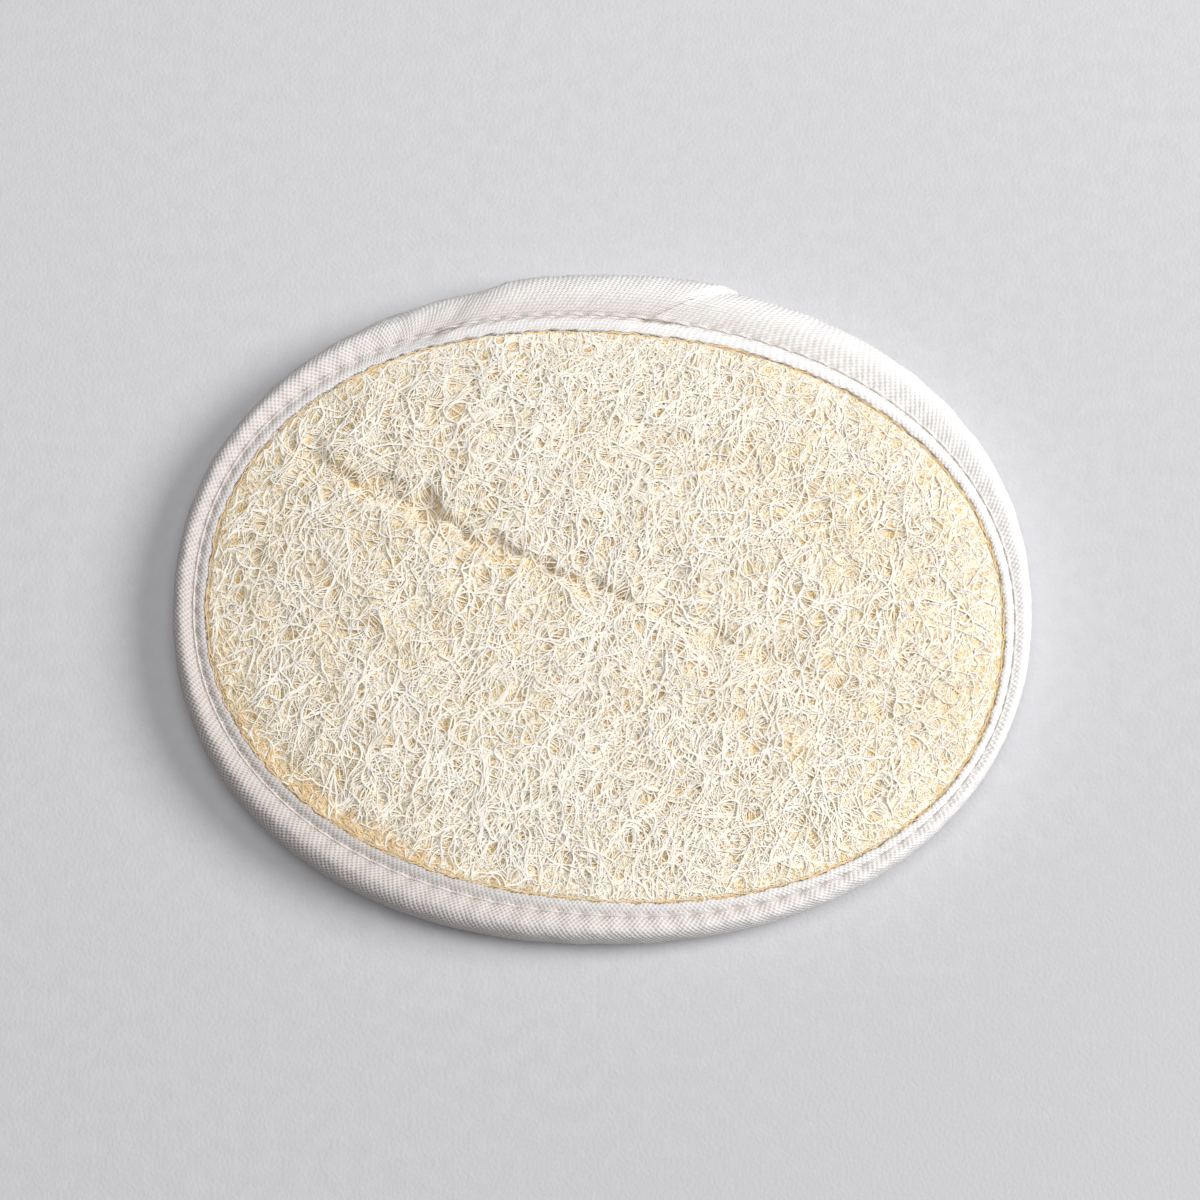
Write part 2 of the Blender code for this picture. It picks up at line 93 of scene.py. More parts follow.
# %% A start for every finish
class Finish:
    """One material: its nodes are made by name and joined by socket."""

    def __init__(self, name, colour, roughness, specular=0.3, sheen=0.0):
        self.material = bpy.data.materials.new(name)
        self.material.use_nodes = True
        self.tree = self.material.node_tree
        self.shader = self.tree.nodes["Principled BSDF"]
        self.shader.inputs["Base Color"].default_value = (*colour, 1.0)
        self.shader.inputs["Roughness"].default_value = roughness
        self.shader.inputs["Specular IOR Level"].default_value = specular
        self.shader.inputs["Sheen Weight"].default_value = sheen

    def node(self, kind, sockets=None, **settings):
        """A node of this kind. sockets sets or joins its inputs, by name or number."""
        made = self.tree.nodes.new("ShaderNode" + kind)
        for name, value in settings.items():
            setattr(made, name, value)
        for name, value in (sockets or {}).items():
            self.join(value, made.inputs[name])
        return made

    def join(self, value, socket):
        """Joins an output to the socket, or sets the socket to a plain value."""
        if isinstance(value, bpy.types.NodeSocket):
            self.tree.links.new(value, socket)
        else:
            socket.default_value = value

    def math(self, operation, a, b=0.0, clamp=False):
        return self.node("Math", {0: a, 1: b}, operation=operation, use_clamp=clamp).outputs[0]

    def mix(self, share, a, b):
        """The colour between a and b at this share."""
        made = self.node("Mix", {0: share}, data_type="RGBA")
        for value, socket in ((a, made.inputs[6]), (b, made.inputs[7])):
            self.join((*value, 1.0) if isinstance(value, tuple) else value, socket)
        return made.outputs[2]

    def attribute(self, name):
        return self.node("Attribute", attribute_name=name).outputs["Fac"]

    def noise(self, per_mm, detail=2.0, place=None):
        """Noise from 0 to 1 with about this many lumps per millimetre."""
        where = place or self.node("TexCoord").outputs["Object"]
        sockets = {"Vector": where, "Scale": per_mm / MM, "Detail": detail}
        return self.node("TexNoise", sockets).outputs["Fac"]

    def spread(self, value, low, high, to_low=0.0, to_high=1.0):
        sockets = {"Value": value, 1: low, 2: high, 3: to_low, 4: to_high}
        return self.node("MapRange", sockets).outputs[0]

    def colour(self, value):
        self.join(value, self.shader.inputs["Base Color"])

    def bump(self, height, depth_mm, after=None):
        """Relief of this depth, in millimetres, at a height from 0 to 1."""
        sockets = {"Height": height, "Distance": depth_mm * MM, "Strength": 1.0}
        made = self.node("Bump", sockets)
        if after is not None:
            self.join(after, made.inputs["Normal"])
        self.join(made.outputs["Normal"], self.shader.inputs["Normal"])
        return made.outputs["Normal"]


# %% [markdown]
# ## The paper and the light
# The pad lies on a sheet of pale grey paper with a fine grain. A soft key lamp stands at
# the right, so the shadow falls to the left. A wider lamp hangs above and reaches down
# between the fibres, and a dim world fills the rest. Together they light the paper at a
# plain level, at which a colour shows about as it is written. Further out the camera sees
# the paper fade into the pale room, so that low views have no dark horizon. That fade is
# for camera rays alone and lights nothing.

# %% Paper
PAPER_LIGHT, PAPER_DARK = (0.662, 0.662, 0.686), (0.580, 0.580, 0.604)
PAPER_SIZE = 2.6
ROOM_TONE, ROOM_SEEN = (1.0, 0.985, 0.98), 0.66
FADE_FROM, FADE_TO = 0.18, 0.90

paper_finish = Finish("grey_paper", PAPER_LIGHT, 0.9, specular=0.2)
grain = paper_finish.noise(1.6, 4.0)
fleck = paper_finish.spread(paper_finish.noise(0.35, 3.0), 0.35, 0.65, 0.0, 0.3)
where = paper_finish.node("TexCoord").outputs["Object"]
place = paper_finish.node("SeparateXYZ", {"Vector": where})
# The paper is painted darker towards the front and the right: painted shade for light that falls
# off there. The flecks are the paper's own uneven tone.
across = paper_finish.math("MULTIPLY", place.outputs["X"], 0.6)
front = paper_finish.math("SUBTRACT", across, place.outputs["Y"])
front = paper_finish.spread(front, -110 * MM, 110 * MM, 0.0, 0.9)
shade = paper_finish.math("ADD", fleck, front, clamp=True)
paper_finish.colour(paper_finish.mix(shade, PAPER_LIGHT, PAPER_DARK))
paper_finish.bump(grain, 0.10)
far = paper_finish.node("VectorMath", {0: where}, operation="LENGTH").outputs["Value"]
faded = paper_finish.node("MapRange", {"Value": far, 1: FADE_FROM, 2: FADE_TO},
                          interpolation_type="SMOOTHSTEP").outputs[0]
seen = paper_finish.node("LightPath").outputs["Is Camera Ray"]
room = paper_finish.node("Emission", {"Color": (*ROOM_TONE, 1.0), "Strength": ROOM_SEEN})
shown = paper_finish.node("MixShader", {0: paper_finish.math("MULTIPLY", faded, seen),
                                        1: paper_finish.shader.outputs[0], 2: room.outputs[0]})
surface = paper_finish.tree.nodes["Material Output"].inputs["Surface"]
paper_finish.join(shown.outputs[0], surface)

bm = bmesh.new()
bmesh.ops.create_grid(bm, x_segments=1, y_segments=1, size=PAPER_SIZE / 2)
paper_mesh = bpy.data.meshes.new("paper")
bm.to_mesh(paper_mesh)
bm.free()
paper = bpy.data.objects.new("paper", paper_mesh)
paper_mesh.materials.append(paper_finish.material)
SCENE.collection.objects.link(paper)
print("paper", PAPER_SIZE, "m square,", len(paper_finish.tree.nodes), "shader nodes")

# %% Lamps and world
KEY_PLACE, KEY_SIZE, KEY_POWER = Vector((1.13, 0.07, 0.95)), 0.80, 19.8
FILL_PLACE, FILL_SIZE, FILL_POWER = Vector((0.02, 0.02, 1.35)), 0.90, 8.4
KEY_COLOUR, FILL_COLOUR, WORLD_LIGHT = (1.0, 0.99, 0.985), (1.0, 0.99, 0.98), 0.09


def soft_lamp(name, place, size, power, colour):
    """A round lamp that faces the pad."""
    lamp = bpy.data.lights.new(name, "AREA")
    lamp.shape, lamp.size, lamp.energy, lamp.color = "DISK", size, power, colour
    stand = bpy.data.objects.new(name, lamp)
    stand.location = place
    stand.rotation_euler = (-place).to_track_quat("-Z", "Y").to_euler()
    SCENE.collection.objects.link(stand)


soft_lamp("key_lamp", KEY_PLACE, KEY_SIZE, KEY_POWER, KEY_COLOUR)
soft_lamp("fill_lamp", FILL_PLACE, FILL_SIZE, FILL_POWER, FILL_COLOUR)
sky = bpy.data.worlds.new("pale_room")
sky.use_nodes = True
background = sky.node_tree.nodes["Background"]
background.inputs["Color"].default_value = (*ROOM_TONE, 1.0)
seen = sky.node_tree.nodes.new("ShaderNodeLightPath").outputs["Is Camera Ray"]
strength = sky.node_tree.nodes.new("ShaderNodeMath")
strength.operation = "MULTIPLY_ADD"
strength.inputs[1].default_value = ROOM_SEEN - WORLD_LIGHT
strength.inputs[2].default_value = WORLD_LIGHT
sky.node_tree.links.new(seen, strength.inputs[0])
sky.node_tree.links.new(strength.outputs[0], background.inputs["Strength"])
SCENE.world = sky
SCENE.view_settings.view_transform = "Standard"
print("lamps of", KEY_POWER, "and", FILL_POWER, "watts")

# %% [markdown]
# ## The pad's measures
# These lengths repeat the CAD model's own, so the dressed pieces lie where its solids do.
# The outline and the window in the binding are rounded ovals: a power of 2 is an ellipse,
# and a little more fills the corners out.

# %% Outline and window
PAD_LENGTH, PAD_WIDTH, OUTLINE_POWER = 140.0 * MM, 110.4 * MM, 2.14
FACE_AT_ENDS, FACE_AT_SIDES = 5.2 * MM, 8.1 * MM
WINDOW_POWER, WINDOW_TURN = 2.16, math.radians(-5.0)
WINDOW_MIDDLE = np.array((0.4, -1.6)) * MM
WINDOW_HALVES = (PAD_LENGTH / 2 - FACE_AT_ENDS, PAD_WIDTH / 2 - FACE_AT_SIDES)
print("window", " x ".join(f"{2 * half / MM:.1f}" for half in WINDOW_HALVES), "mm")


def turned(points, angle):
    """Flat points turned about the origin."""
    c, s = np.cos(angle), np.sin(angle)
    x, y = points[..., 0], points[..., 1]
    return np.stack((x * c - y * s, x * s + y * c), -1)


def oval_point(angle, half_length, half_width, power):
    """Points of a rounded oval at these polar angles."""
    along, aside = np.cos(angle), np.sin(angle)
    total = np.abs(along / half_length) ** power + np.abs(aside / half_width) ** power
    reach = total ** (-1 / power)
    return np.stack((reach * along, reach * aside), -1)


def outline_point(angle):
    return oval_point(angle, PAD_LENGTH / 2, PAD_WIDTH / 2, OUTLINE_POWER)


def window_point(angle, share=1.0):
    """Points at this share of the way from the window's middle to its edge."""
    edge = turned(oval_point(angle - WINDOW_TURN, *WINDOW_HALVES, WINDOW_POWER), WINDOW_TURN)
    return WINDOW_MIDDLE + edge * np.asarray(share)[..., None]


def window_share(points):
    """0 at the window's middle and 1 at its edge."""
    out = np.abs(turned(points - WINDOW_MIDDLE, -WINDOW_TURN)) / WINDOW_HALVES
    return (out**WINDOW_POWER).sum(-1) ** (1 / WINDOW_POWER)


def smooth_step(value):
    value = np.clip(value, 0.0, 1.0)
    return value * value * (3 - 2 * value)


# %% Heights, from the floor up
CLEARANCE, TAPE_THICKNESS, THREAD_DIAMETER = 0.3 * MM, 0.7 * MM, 0.4 * MM
STITCH_RISE, SLOPE_ALLOWANCE = 0.12 * MM, 0.15 * MM
STRAP_UNDER, STRAP_THICKNESS, OVER_STRAP = 0.1 * MM, 1.0 * MM, 1.0 * MM
OFF_FLOOR = 1.6 * MM
STRAP_TOP = STRAP_UNDER + STRAP_THICKNESS
BACK_SEAM_Z = OFF_FLOOR + THREAD_DIAMETER + CLEARANCE + STITCH_RISE
CLAMP_UNDER = BACK_SEAM_Z + TAPE_THICKNESS + SLOPE_ALLOWANCE + CLEARANCE
CLAMP_TOP = CLAMP_UNDER + STRAP_THICKNESS
TERRY_INSIDE = STRAP_TOP + CLEARANCE + OVER_STRAP
TERRY_EDGE_TOP = CLAMP_TOP + CLEARANCE + OVER_STRAP
FOAM_UNDER, FOAM_TOP = TERRY_INSIDE + CLEARANCE, TERRY_INSIDE + CLEARANCE + 6.0 * MM
WEB_UNDER = TERRY_EDGE_TOP + CLEARANCE
WEB_EDGE_TOP = WEB_UNDER + 1.1 * MM
WEB_TOP = FOAM_TOP + CLEARANCE + 7.0 * MM
FACE_SEAM_Z = WEB_EDGE_TOP + CLEARANCE + SLOPE_ALLOWANCE + TAPE_THICKNESS
FACE_LIP_Z = FACE_SEAM_Z + 0.4 * MM
RIM_MIDDLE_Z = (OFF_FLOOR + FACE_LIP_Z) / 2
print(f"web top {WEB_TOP / MM:.2f} mm, tape lip {FACE_LIP_Z / MM:.2f} mm above the paper")

# %% [markdown]
# ## The web's surface
# Loofah is the dried fibre net of a gourd, cut open and pressed flat. Its face is crowned
# over the foam, and pressing leaves folds: a long crease from upper left to lower right,
# fainter valleys beside it, and a sunk place at the lower left edge. The surface is worked
# out as a height at every flat point, because thousands of strands have to follow it.

# %% Height of the web's face
CROWN_POWER = 3.4
WEB_RIM_Z = FACE_LIP_Z - TAPE_THICKNESS - 0.1 * MM
CREASES = [
    # reach below and above the line in the photo, and its points with the depth there
    (2.6, 0.9, [(-54, 29, 0.5), (-42, 21, 1.9), (-28, 14.5, 2.2), (-17, 8, 2.0), (-7, 3, 1.8),
                (4, -0.5, 1.3), (12, -4, 0.8), (19, -7, 0.8), (33, -13, 0.8), (50, -22, 0.2)]),
    (4.2, 2.4, [(-9, 30.5, 0.2), (2, 28, 0.7), (16, 24.5, 0.8), (41, 11.5, 0.7), (53, 1.5, 0.2)]),
    (3.5, 2.6, [(1, -28, 0.2), (17, -35, 0.6), (32, -40, 0.2)]),
    (3.0, 3.0, [(-60, 1, 0.1), (-46, -9, 0.4), (-38, -22, 0.2)]),
]
# the second length is how deep a fold is when its painted shade is full
CREASE_WAVER, CREASE_TINTED = 1.1 * MM, 1.6 * MM
HOLLOW_DEPTH, HOLLOW_TOWARDS = 1.2 * MM, math.radians(216.0)
HOLLOW_SHARE, HOLLOW_REACH = 0.965, 0.035
BESIDE_LIP = 0.60 * MM
print(len(CREASES), "folds, the deepest", max(d for *_, line in CREASES for *_, d in line), "mm")


# %% Noise, bumps and distance from a line
def bump(distance, reach):
    """1 at a distance of 0, and fading to 0 over this reach."""
    return np.exp(-((distance / reach) ** 2))


def soft_noise(points, lump, seed, waves=7):
    """Smooth noise of about -1 to 1, in lumps of about this size, from crossing waves."""
    draw = np.random.default_rng(seed)
    total = np.zeros(points.shape[:-1])
    for _ in range(waves):
        heading, phase = draw.uniform(0, TAU, 2)
        pace = TAU / (2 * lump) * draw.uniform(0.6, 1.5)
        along = points[..., 0] * math.cos(heading) + points[..., 1] * math.sin(heading)
        total += np.sin(along * pace + phase)
    return total / math.sqrt(waves)


def beside_line(points, line):
    """Distance in millimetres from flat points to a line, less than 0 on its right-hand
    side, and the line's depth at the nearest place."""
    least = np.full(points.shape[:-1], np.inf)
    signed, depth = np.zeros_like(least), np.zeros_like(least)
    for (*a, depth_a), (*b, depth_b) in zip(line, line[1:]):
        start, run = np.array(a), np.array(b) - np.array(a)
        share = np.clip(((points / MM - start) @ run) / (run @ run), 0, 1)
        away = points / MM - start - share[..., None] * run
        distance = np.linalg.norm(away, axis=-1)
        left = np.sign(run[0] * away[..., 1] - run[1] * away[..., 0])
        nearer = distance < least
        signed = np.where(nearer, left * distance, signed)
        depth = np.where(nearer, depth_a + share * (depth_b - depth_a), depth)
        least = np.minimum(least, distance)
    return signed, depth


# %% How far the folds sink the face, and how high it stands
def in_hollow(points):
    """1 in the middle of the hollow beside the lower left edge, and 0 away from it."""
    out = points - WINDOW_MIDDLE
    facing = np.cos(np.arctan2(out[..., 1], out[..., 0]) - HOLLOW_TOWARDS)
    return bump(window_share(points) - HOLLOW_SHARE, HOLLOW_REACH) * np.maximum(facing, 0) ** 6


def creased(points):
    """How far the folds and the hollow sink the web's face at flat points."""
    sunk = HOLLOW_DEPTH * in_hollow(points)
    waver = [soft_noise(points, 3.2 * MM, seed) for seed in (1, 2)]
    points = points + CREASE_WAVER * np.stack(waver, -1)
    for reach_below, reach_above, line in CREASES:
        signed, depth = beside_line(points, line)
        reach = np.where(signed > 0, reach_above, reach_below)
        sunk += depth * MM * bump(signed, reach)
    return sunk


def web_height(points):
    """Height of the web's face over flat points."""
    share = window_share(points)
    crown = 1 - np.minimum(share, 1) ** CROWN_POWER
    height = WEB_RIM_Z + (WEB_TOP - WEB_RIM_Z) * crown
    height = height + BESIDE_LIP * smooth_step((1 - share) / 0.007) * (1 - crown)
    lumps = 0.25 * soft_noise(points, 6 * MM, 3) + 0.12 * soft_noise(points, 2.6 * MM, 4)
    return height - (creased(points) + lumps * MM) * np.minimum(3 * crown, 1)


spot = np.zeros((1, 2))
print(f"the face stands {web_height(spot)[0] / MM:.1f} mm high at the origin")

# %% [markdown]
# ## The lie of the fibres
# The gourd's fibres run mostly one way, from lower left to upper right here, and they part
# round small openings and join again. Two tools give that. A field of directions tells a
# strand where to walk, and a staggered lattice of openings pushes the strands aside.

# %% Directions
FIBRE_DIRECTION = math.radians(64.0)
print("fibres run about", round(math.degrees(FIBRE_DIRECTION)), "degrees from the pad's length")


def fibre_direction(points):
    """The way the fibres lie at flat points, as an angle."""
    drift = 0.22 * soft_noise(points, 16 * MM, 11) + 0.14 * soft_noise(points, 6 * MM, 12)
    rightward = np.clip(points[..., 0] / (60 * MM), -1, 1)
    return FIBRE_DIRECTION + drift - 0.12 * rightward


# %% Openings
OPENING_ALONG, OPENING_ACROSS = 3.3 * MM, 2.5 * MM
OPENING_REACH, SHUT_SHARE = 2.1, 0.12
LATTICE = 34
draw = np.random.default_rng(21)
numbers = np.arange(-LATTICE, LATTICE + 1)
rows, columns = np.meshgrid(numbers, numbers, indexing="ij")
along = (columns + 0.5 * (rows % 2) + draw.uniform(-0.36, 0.36, rows.shape)) * OPENING_ALONG
across = (rows + draw.uniform(-0.34, 0.34, rows.shape)) * OPENING_ACROSS
opening_middle = turned(np.stack((along, across), -1), FIBRE_DIRECTION)
opening_half_long = draw.uniform(0.45, 1.35, rows.shape) * MM
opening_half_wide = opening_half_long * draw.uniform(0.45, 0.85, rows.shape)
shut = draw.random(rows.shape) < SHUT_SHARE
opening_half_long[shut] *= 0.3
opening_half_wide[shut] *= 0.3
opening_turn = fibre_direction(opening_middle) + draw.normal(0, 0.45, rows.shape)
print(rows.size, "openings in the lattice,", int(shut.sum()), "of them nearly shut")


# %% Pushing strands out of the openings
def openings_near(points):
    """The nine openings nearest each flat point, as the arrow from the opening's middle and
    the distance from it. At a distance of 1 the point is on the opening's edge."""
    local = turned(points, -FIBRE_DIRECTION)
    row = np.rint(local[..., 1] / OPENING_ACROSS).astype(int)
    for row_step in (-1, 0, 1):
        r = np.clip(row + row_step, -LATTICE, LATTICE)
        column = np.rint(local[..., 0] / OPENING_ALONG - 0.5 * (r % 2)).astype(int)
        for column_step in (-1, 0, 1):
            c = np.clip(column + column_step, -LATTICE, LATTICE)
            at = (r + LATTICE, c + LATTICE)
            away = points - opening_middle[at]
            halves = np.stack((opening_half_long[at], opening_half_wide[at]), -1)
            yield away, np.linalg.norm(turned(away, -opening_turn[at]) / halves, axis=-1)


def aside(points, strength):
    """Flat points pushed out of the openings near them."""
    moved = np.zeros_like(points)
    for away, ratio in openings_near(points):
        ratio = np.maximum(ratio, 0.05)
        outside = 1 + ratio * (OPENING_REACH - 1) / OPENING_REACH
        push = np.where(ratio < OPENING_REACH, outside / ratio - 1, 0) * strength
        moved += away * push[..., None]
    return points + moved


def openness(points):
    """1 inside an opening and 0 outside it, with a soft edge."""
    least = np.full(points.shape[:-1], np.inf)
    for _, ratio in openings_near(points):
        least = np.minimum(least, ratio)
    return 1 - smooth_step((least - 0.75) / 0.65)


# %% [markdown]
# ## Strands
# A strand is a thin tube. The curve tool is made for this: each strand is one spline with
# a thickness at each point, and converting the curve gives a mesh of tubes. Four sides are
# enough for a fibre a third of a millimetre thick, since its normals are smoothed.

# %% Tubes from paths
MOST_POINTS = 24000  # of the paths in one piece, which keeps it under 200,000 triangles


def as_mesh_piece(name, curve):
    """The curve's tubes as a mesh piece at the origin."""
    line = bpy.data.objects.new(name + "_line", curve)
    SCENE.collection.objects.link(line)
    bpy.context.view_layer.update()
    evaluated = line.evaluated_get(bpy.context.evaluated_depsgraph_get())
    mesh = bpy.data.meshes.new_from_object(evaluated)
    bpy.data.objects.remove(line)
    bpy.data.curves.remove(curve)
    piece = bpy.data.objects.new(name, mesh)
    mesh.name = name
    mesh.shade_smooth()
    SCENE.collection.objects.link(piece)
    return piece


def tubes(name, paths, radii, closed=False, roundness=0):
    """One mesh of tubes along these paths. radii has a radius for each point. A tube has four
    sides, and two more for each step of roundness."""
    curve = bpy.data.curves.new(name, "CURVE")
    curve.dimensions = "3D"
    curve.bevel_depth = 1.0
    curve.bevel_resolution = roundness
    for path, radius in zip(paths, radii):
        spline = curve.splines.new("POLY")
        spline.points.add(len(path) - 1)
        spline.points.foreach_set("co", np.column_stack((path, np.ones(len(path)))).ravel())
        spline.points.foreach_set("radius", radius)
        spline.use_cyclic_u = closed
    return as_mesh_piece(name, curve)


# %% What a mesh knows about itself
def vertex_places(mesh):
    """The mesh's vertices as an array of places."""
    co = np.empty(len(mesh.vertices) * 3, np.float32)
    mesh.vertices.foreach_get("co", co)
    return co.reshape(-1, 3).astype(float)


def set_attribute(mesh, name, values):
    """Keeps a number for each vertex, for a finish to read."""
    made = mesh.attributes.new(name, "FLOAT", "POINT")
    made.data.foreach_set("value", np.asarray(values, np.float32))


def vertex_normals(mesh):
    normals = np.empty(len(mesh.vertices) * 3, np.float32)
    mesh.vertex_normals.foreach_get("vector", normals)
    return normals.reshape(-1, 3).astype(float)


def soften(mesh, towards_up):
    """Turns the shading of thin fibres towards the light above. Fibres pass light on, so their
    sides aren't as dark as a solid's."""
    soft = vertex_normals(mesh) * (1 - towards_up) + (0, 0, towards_up)
    soft /= np.linalg.norm(soft, axis=1, keepdims=True)
    mesh.normals_split_custom_set_from_vertices(soft.tolist())


def close_ends(mesh):
    """Closes the open ends of the tubes."""
    bm = bmesh.new()
    bm.from_mesh(mesh)
    bmesh.ops.holes_fill(bm, edges=[e for e in bm.edges if e.is_boundary], sides=0)
    bm.to_mesh(mesh)
    bm.free()


# %% Strands of the web
SUNK_FULLY, TURNED_UP = 1.1 * MM, 0.84


def web_strands(name, paths, radii, tones, finish):
    """Strand pieces of the web, split so that none is too heavy, riding on the pad."""
    lengths = np.array([len(p) for p in paths])
    batches = max(1, math.ceil(lengths.sum() / MOST_POINTS))
    share = math.ceil(len(paths) / batches)
    for k in range(batches):
        part = slice(k * share, (k + 1) * share)
        title = name if batches == 1 else f"{name}_{k + 1}"
        piece = tubes(title, paths[part], radii[part])
        mesh = piece.data
        places = vertex_places(mesh)
        sunk = (web_height(places[:, :2]) - places[:, 2]) / SUNK_FULLY
        set_attribute(mesh, "sunk", np.clip(sunk, 0, 1))
        folds = creased(places[:, :2]) / CREASE_TINTED
        set_attribute(mesh, "creased", np.clip(folds, 0, 1))
        ring = len(mesh.vertices) // lengths[part].sum()
        set_attribute(mesh, "tone", np.repeat(tones[part], lengths[part] * ring))
        close_ends(mesh)
        upward = vertex_normals(mesh)[:, 2]
        # sides turned away from the sky get painted shade
        set_attribute(mesh, "painted_flank_shade", smooth_step((0.65 - upward) / 0.8))
        soften(mesh, TURNED_UP)
        mesh.materials.append(finish.material)
        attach(piece, "pad")
        print(title, len(paths[part]), "strands,", len(mesh.polygons), "faces")


# %% Walking strands
def walk(starts, heading, steps, step, follow, wander, draw, curl=0.0):
    """Paths walked from flat starts, all at once, that keep to the lie as strongly as follow
    says."""
    here, heading = starts.copy(), heading.copy()
    path = [here.copy()]
    for _ in range(steps):
        heading += curl + follow * np.sin(2 * (fibre_direction(here) - heading)) / 2
        heading += wander * draw.normal(size=len(here))
        here = here + step * np.stack((np.cos(heading), np.sin(heading)), -1)
        path.append(here.copy())
    return np.stack(path, 1)


def eased(paths):
    """Paths with their small corners rounded off."""
    smooth = paths.copy()
    smooth[:, 1:-1] = 0.25 * paths[:, :-2] + 0.5 * paths[:, 1:-1] + 0.25 * paths[:, 2:]
    return smooth


# %% Laying strands on the face
def laid(paths, depth, wave, draw, dip=0.3):
    """Flat paths laid on the web's face, this far below it, waving up and down."""
    count, length = paths.shape[:2]
    phase = draw.uniform(0, TAU, (count, 1))
    pace = draw.uniform(0.5, 1.1, (count, 1))
    along = np.arange(length)[None, :]
    ends = np.minimum(along, length - 1 - along)
    height = web_height(paths) - depth[:, None] + wave * np.sin(phase + pace * along)
    height -= dip * MM * bump(ends, 1.2)
    under_lip = FACE_LIP_Z - TAPE_THICKNESS - 0.32 * MM
    inside = np.maximum(1 - window_share(paths), 0) * 80 * MM
    height = np.minimum(height, under_lip + inside)
    return np.concatenate((paths, height[..., None]), -1)


def scattered(count, draw, most_share=1.0):
    """Flat points spread evenly over the window."""
    angle = draw.uniform(0, TAU, count)
    return window_point(angle, np.sqrt(draw.random(count)) * most_share)


# %% Ending strands at the window's edge
def clipped(paths, radii, tones, most_share=1.015):
    """Splits off what lies outside the window. Gives lists of paths, radii and tones."""
    inside = window_share(paths[..., :2]) < most_share
    middles = paths[:, paths.shape[1] // 2, :2]
    inside[0.35 * in_hollow(middles) > draw.random(len(paths))] = False
    kept_paths, kept_radii, kept_tones = [], [], []
    for path, radius, tone, good in zip(paths, radii, tones, inside):
        if good.all():
            runs = [slice(0, len(path))]
        else:
            marks = np.flatnonzero(np.diff(np.concatenate(([0], good.astype(int), [0]))))
            runs = [slice(a, b) for a, b in zip(marks[::2], marks[1::2]) if b - a > 3]
        for run in runs:
            kept_paths.append(path[run])
            kept_radii.append(radius[run])
            kept_tones.append(tone)
    return kept_paths, kept_radii, np.array(kept_tones)


# %% [markdown]
# ## The colour of dry fibre
# Dry loofah is cream where light falls on a strand's top, straw coloured in patches, and golden in
# its depths, because light that has passed through several fibres comes out warmer. That golden
# shade is painted into the colour, mixed by what each strand knows about itself: how far it is
# sunk, whether it lies in a fold, and how far its side faces away from the sky. These are
# attributes on the mesh, so the painted shade stays with the fibre in every view, whatever the
# light.

# %% Finish of the fibres
# how much the folds and the sides facing away from the sky are painted amber, as painted shade
FOLD_PAINTED_SHADE, FLANK_PAINTED_SHADE = 0.35, 0.66
SHEEN_TINT = (1.0, 0.90, 0.72)


def fibre_finish(name, light, straw, deep):
    """Dry plant fibre: pale where it stands up, straw and amber where it lies deep. The amber where
    it lies deep, in folds and on sides facing away from the sky, is painted shade.
    """
    made = Finish(name, light, 0.6, specular=0.3, sheen=0.5)
    made.shader.inputs["Sheen Tint"].default_value = (*SHEEN_TINT, 1.0)
    sunk, tone = made.attribute("sunk"), made.attribute("tone")
    patch = made.spread(made.noise(0.09, 2.0), 0.35, 0.7, -0.1, 0.45)
    yellow = made.math("ADD", made.math("MULTIPLY", tone, 0.55), patch, clamp=True)
    fold = made.math("MULTIPLY", made.attribute("creased"), FOLD_PAINTED_SHADE)
    body = made.mix(fold, made.mix(yellow, light, straw), deep)
    # the deeper a fibre lies, the more it is painted amber: painted shade of the depths
    depth = made.spread(sunk, 0.09, 0.42)
    painted_flank_shade = made.math("MULTIPLY", made.attribute("painted_flank_shade"), FLANK_PAINTED_SHADE)
    made.colour(made.mix(made.math("MAXIMUM", depth, painted_flank_shade), body, deep))
    made.bump(made.noise(7.0, 2.0), 0.03)
    return made


FIBRE_LIGHT = (0.970, 0.972, 0.957)
FIBRE_STRAW = (0.96, 0.92, 0.83)
FIBRE_DEEP_SHADE = (0.98, 0.84, 0.60)
# amber colours of the fibres laid as painted shadow beside the tape and as painted shade in the
# hollow
SHADE_FIBRE_LIGHT, SHADE_FIBRE_STRAW = (0.90, 0.70, 0.43), (0.82, 0.56, 0.28)
SHADE_FIBRE_DEEP = (0.80, 0.53, 0.26)
top_finish = fibre_finish("loofah_fibre", FIBRE_LIGHT, FIBRE_STRAW, FIBRE_DEEP_SHADE)
amber_finish = fibre_finish("loofah_shade_fibre", SHADE_FIBRE_LIGHT, SHADE_FIBRE_STRAW, SHADE_FIBRE_DEEP)

# %% [markdown]
# ## Long strands
# The web's main fibres are long, lie mostly one way and part round the openings. Drawing
# each by hand is out of the question, so they are all walked at once: every strand takes a
# step, turns a little towards the lie of the fibres, and wavers a little by chance.

# %% Long strands
LONG_STRANDS, LONG_STEP, LONG_WAVE = 4000, 0.58 * MM, 0.10 * MM
draw = np.random.default_rng(31)


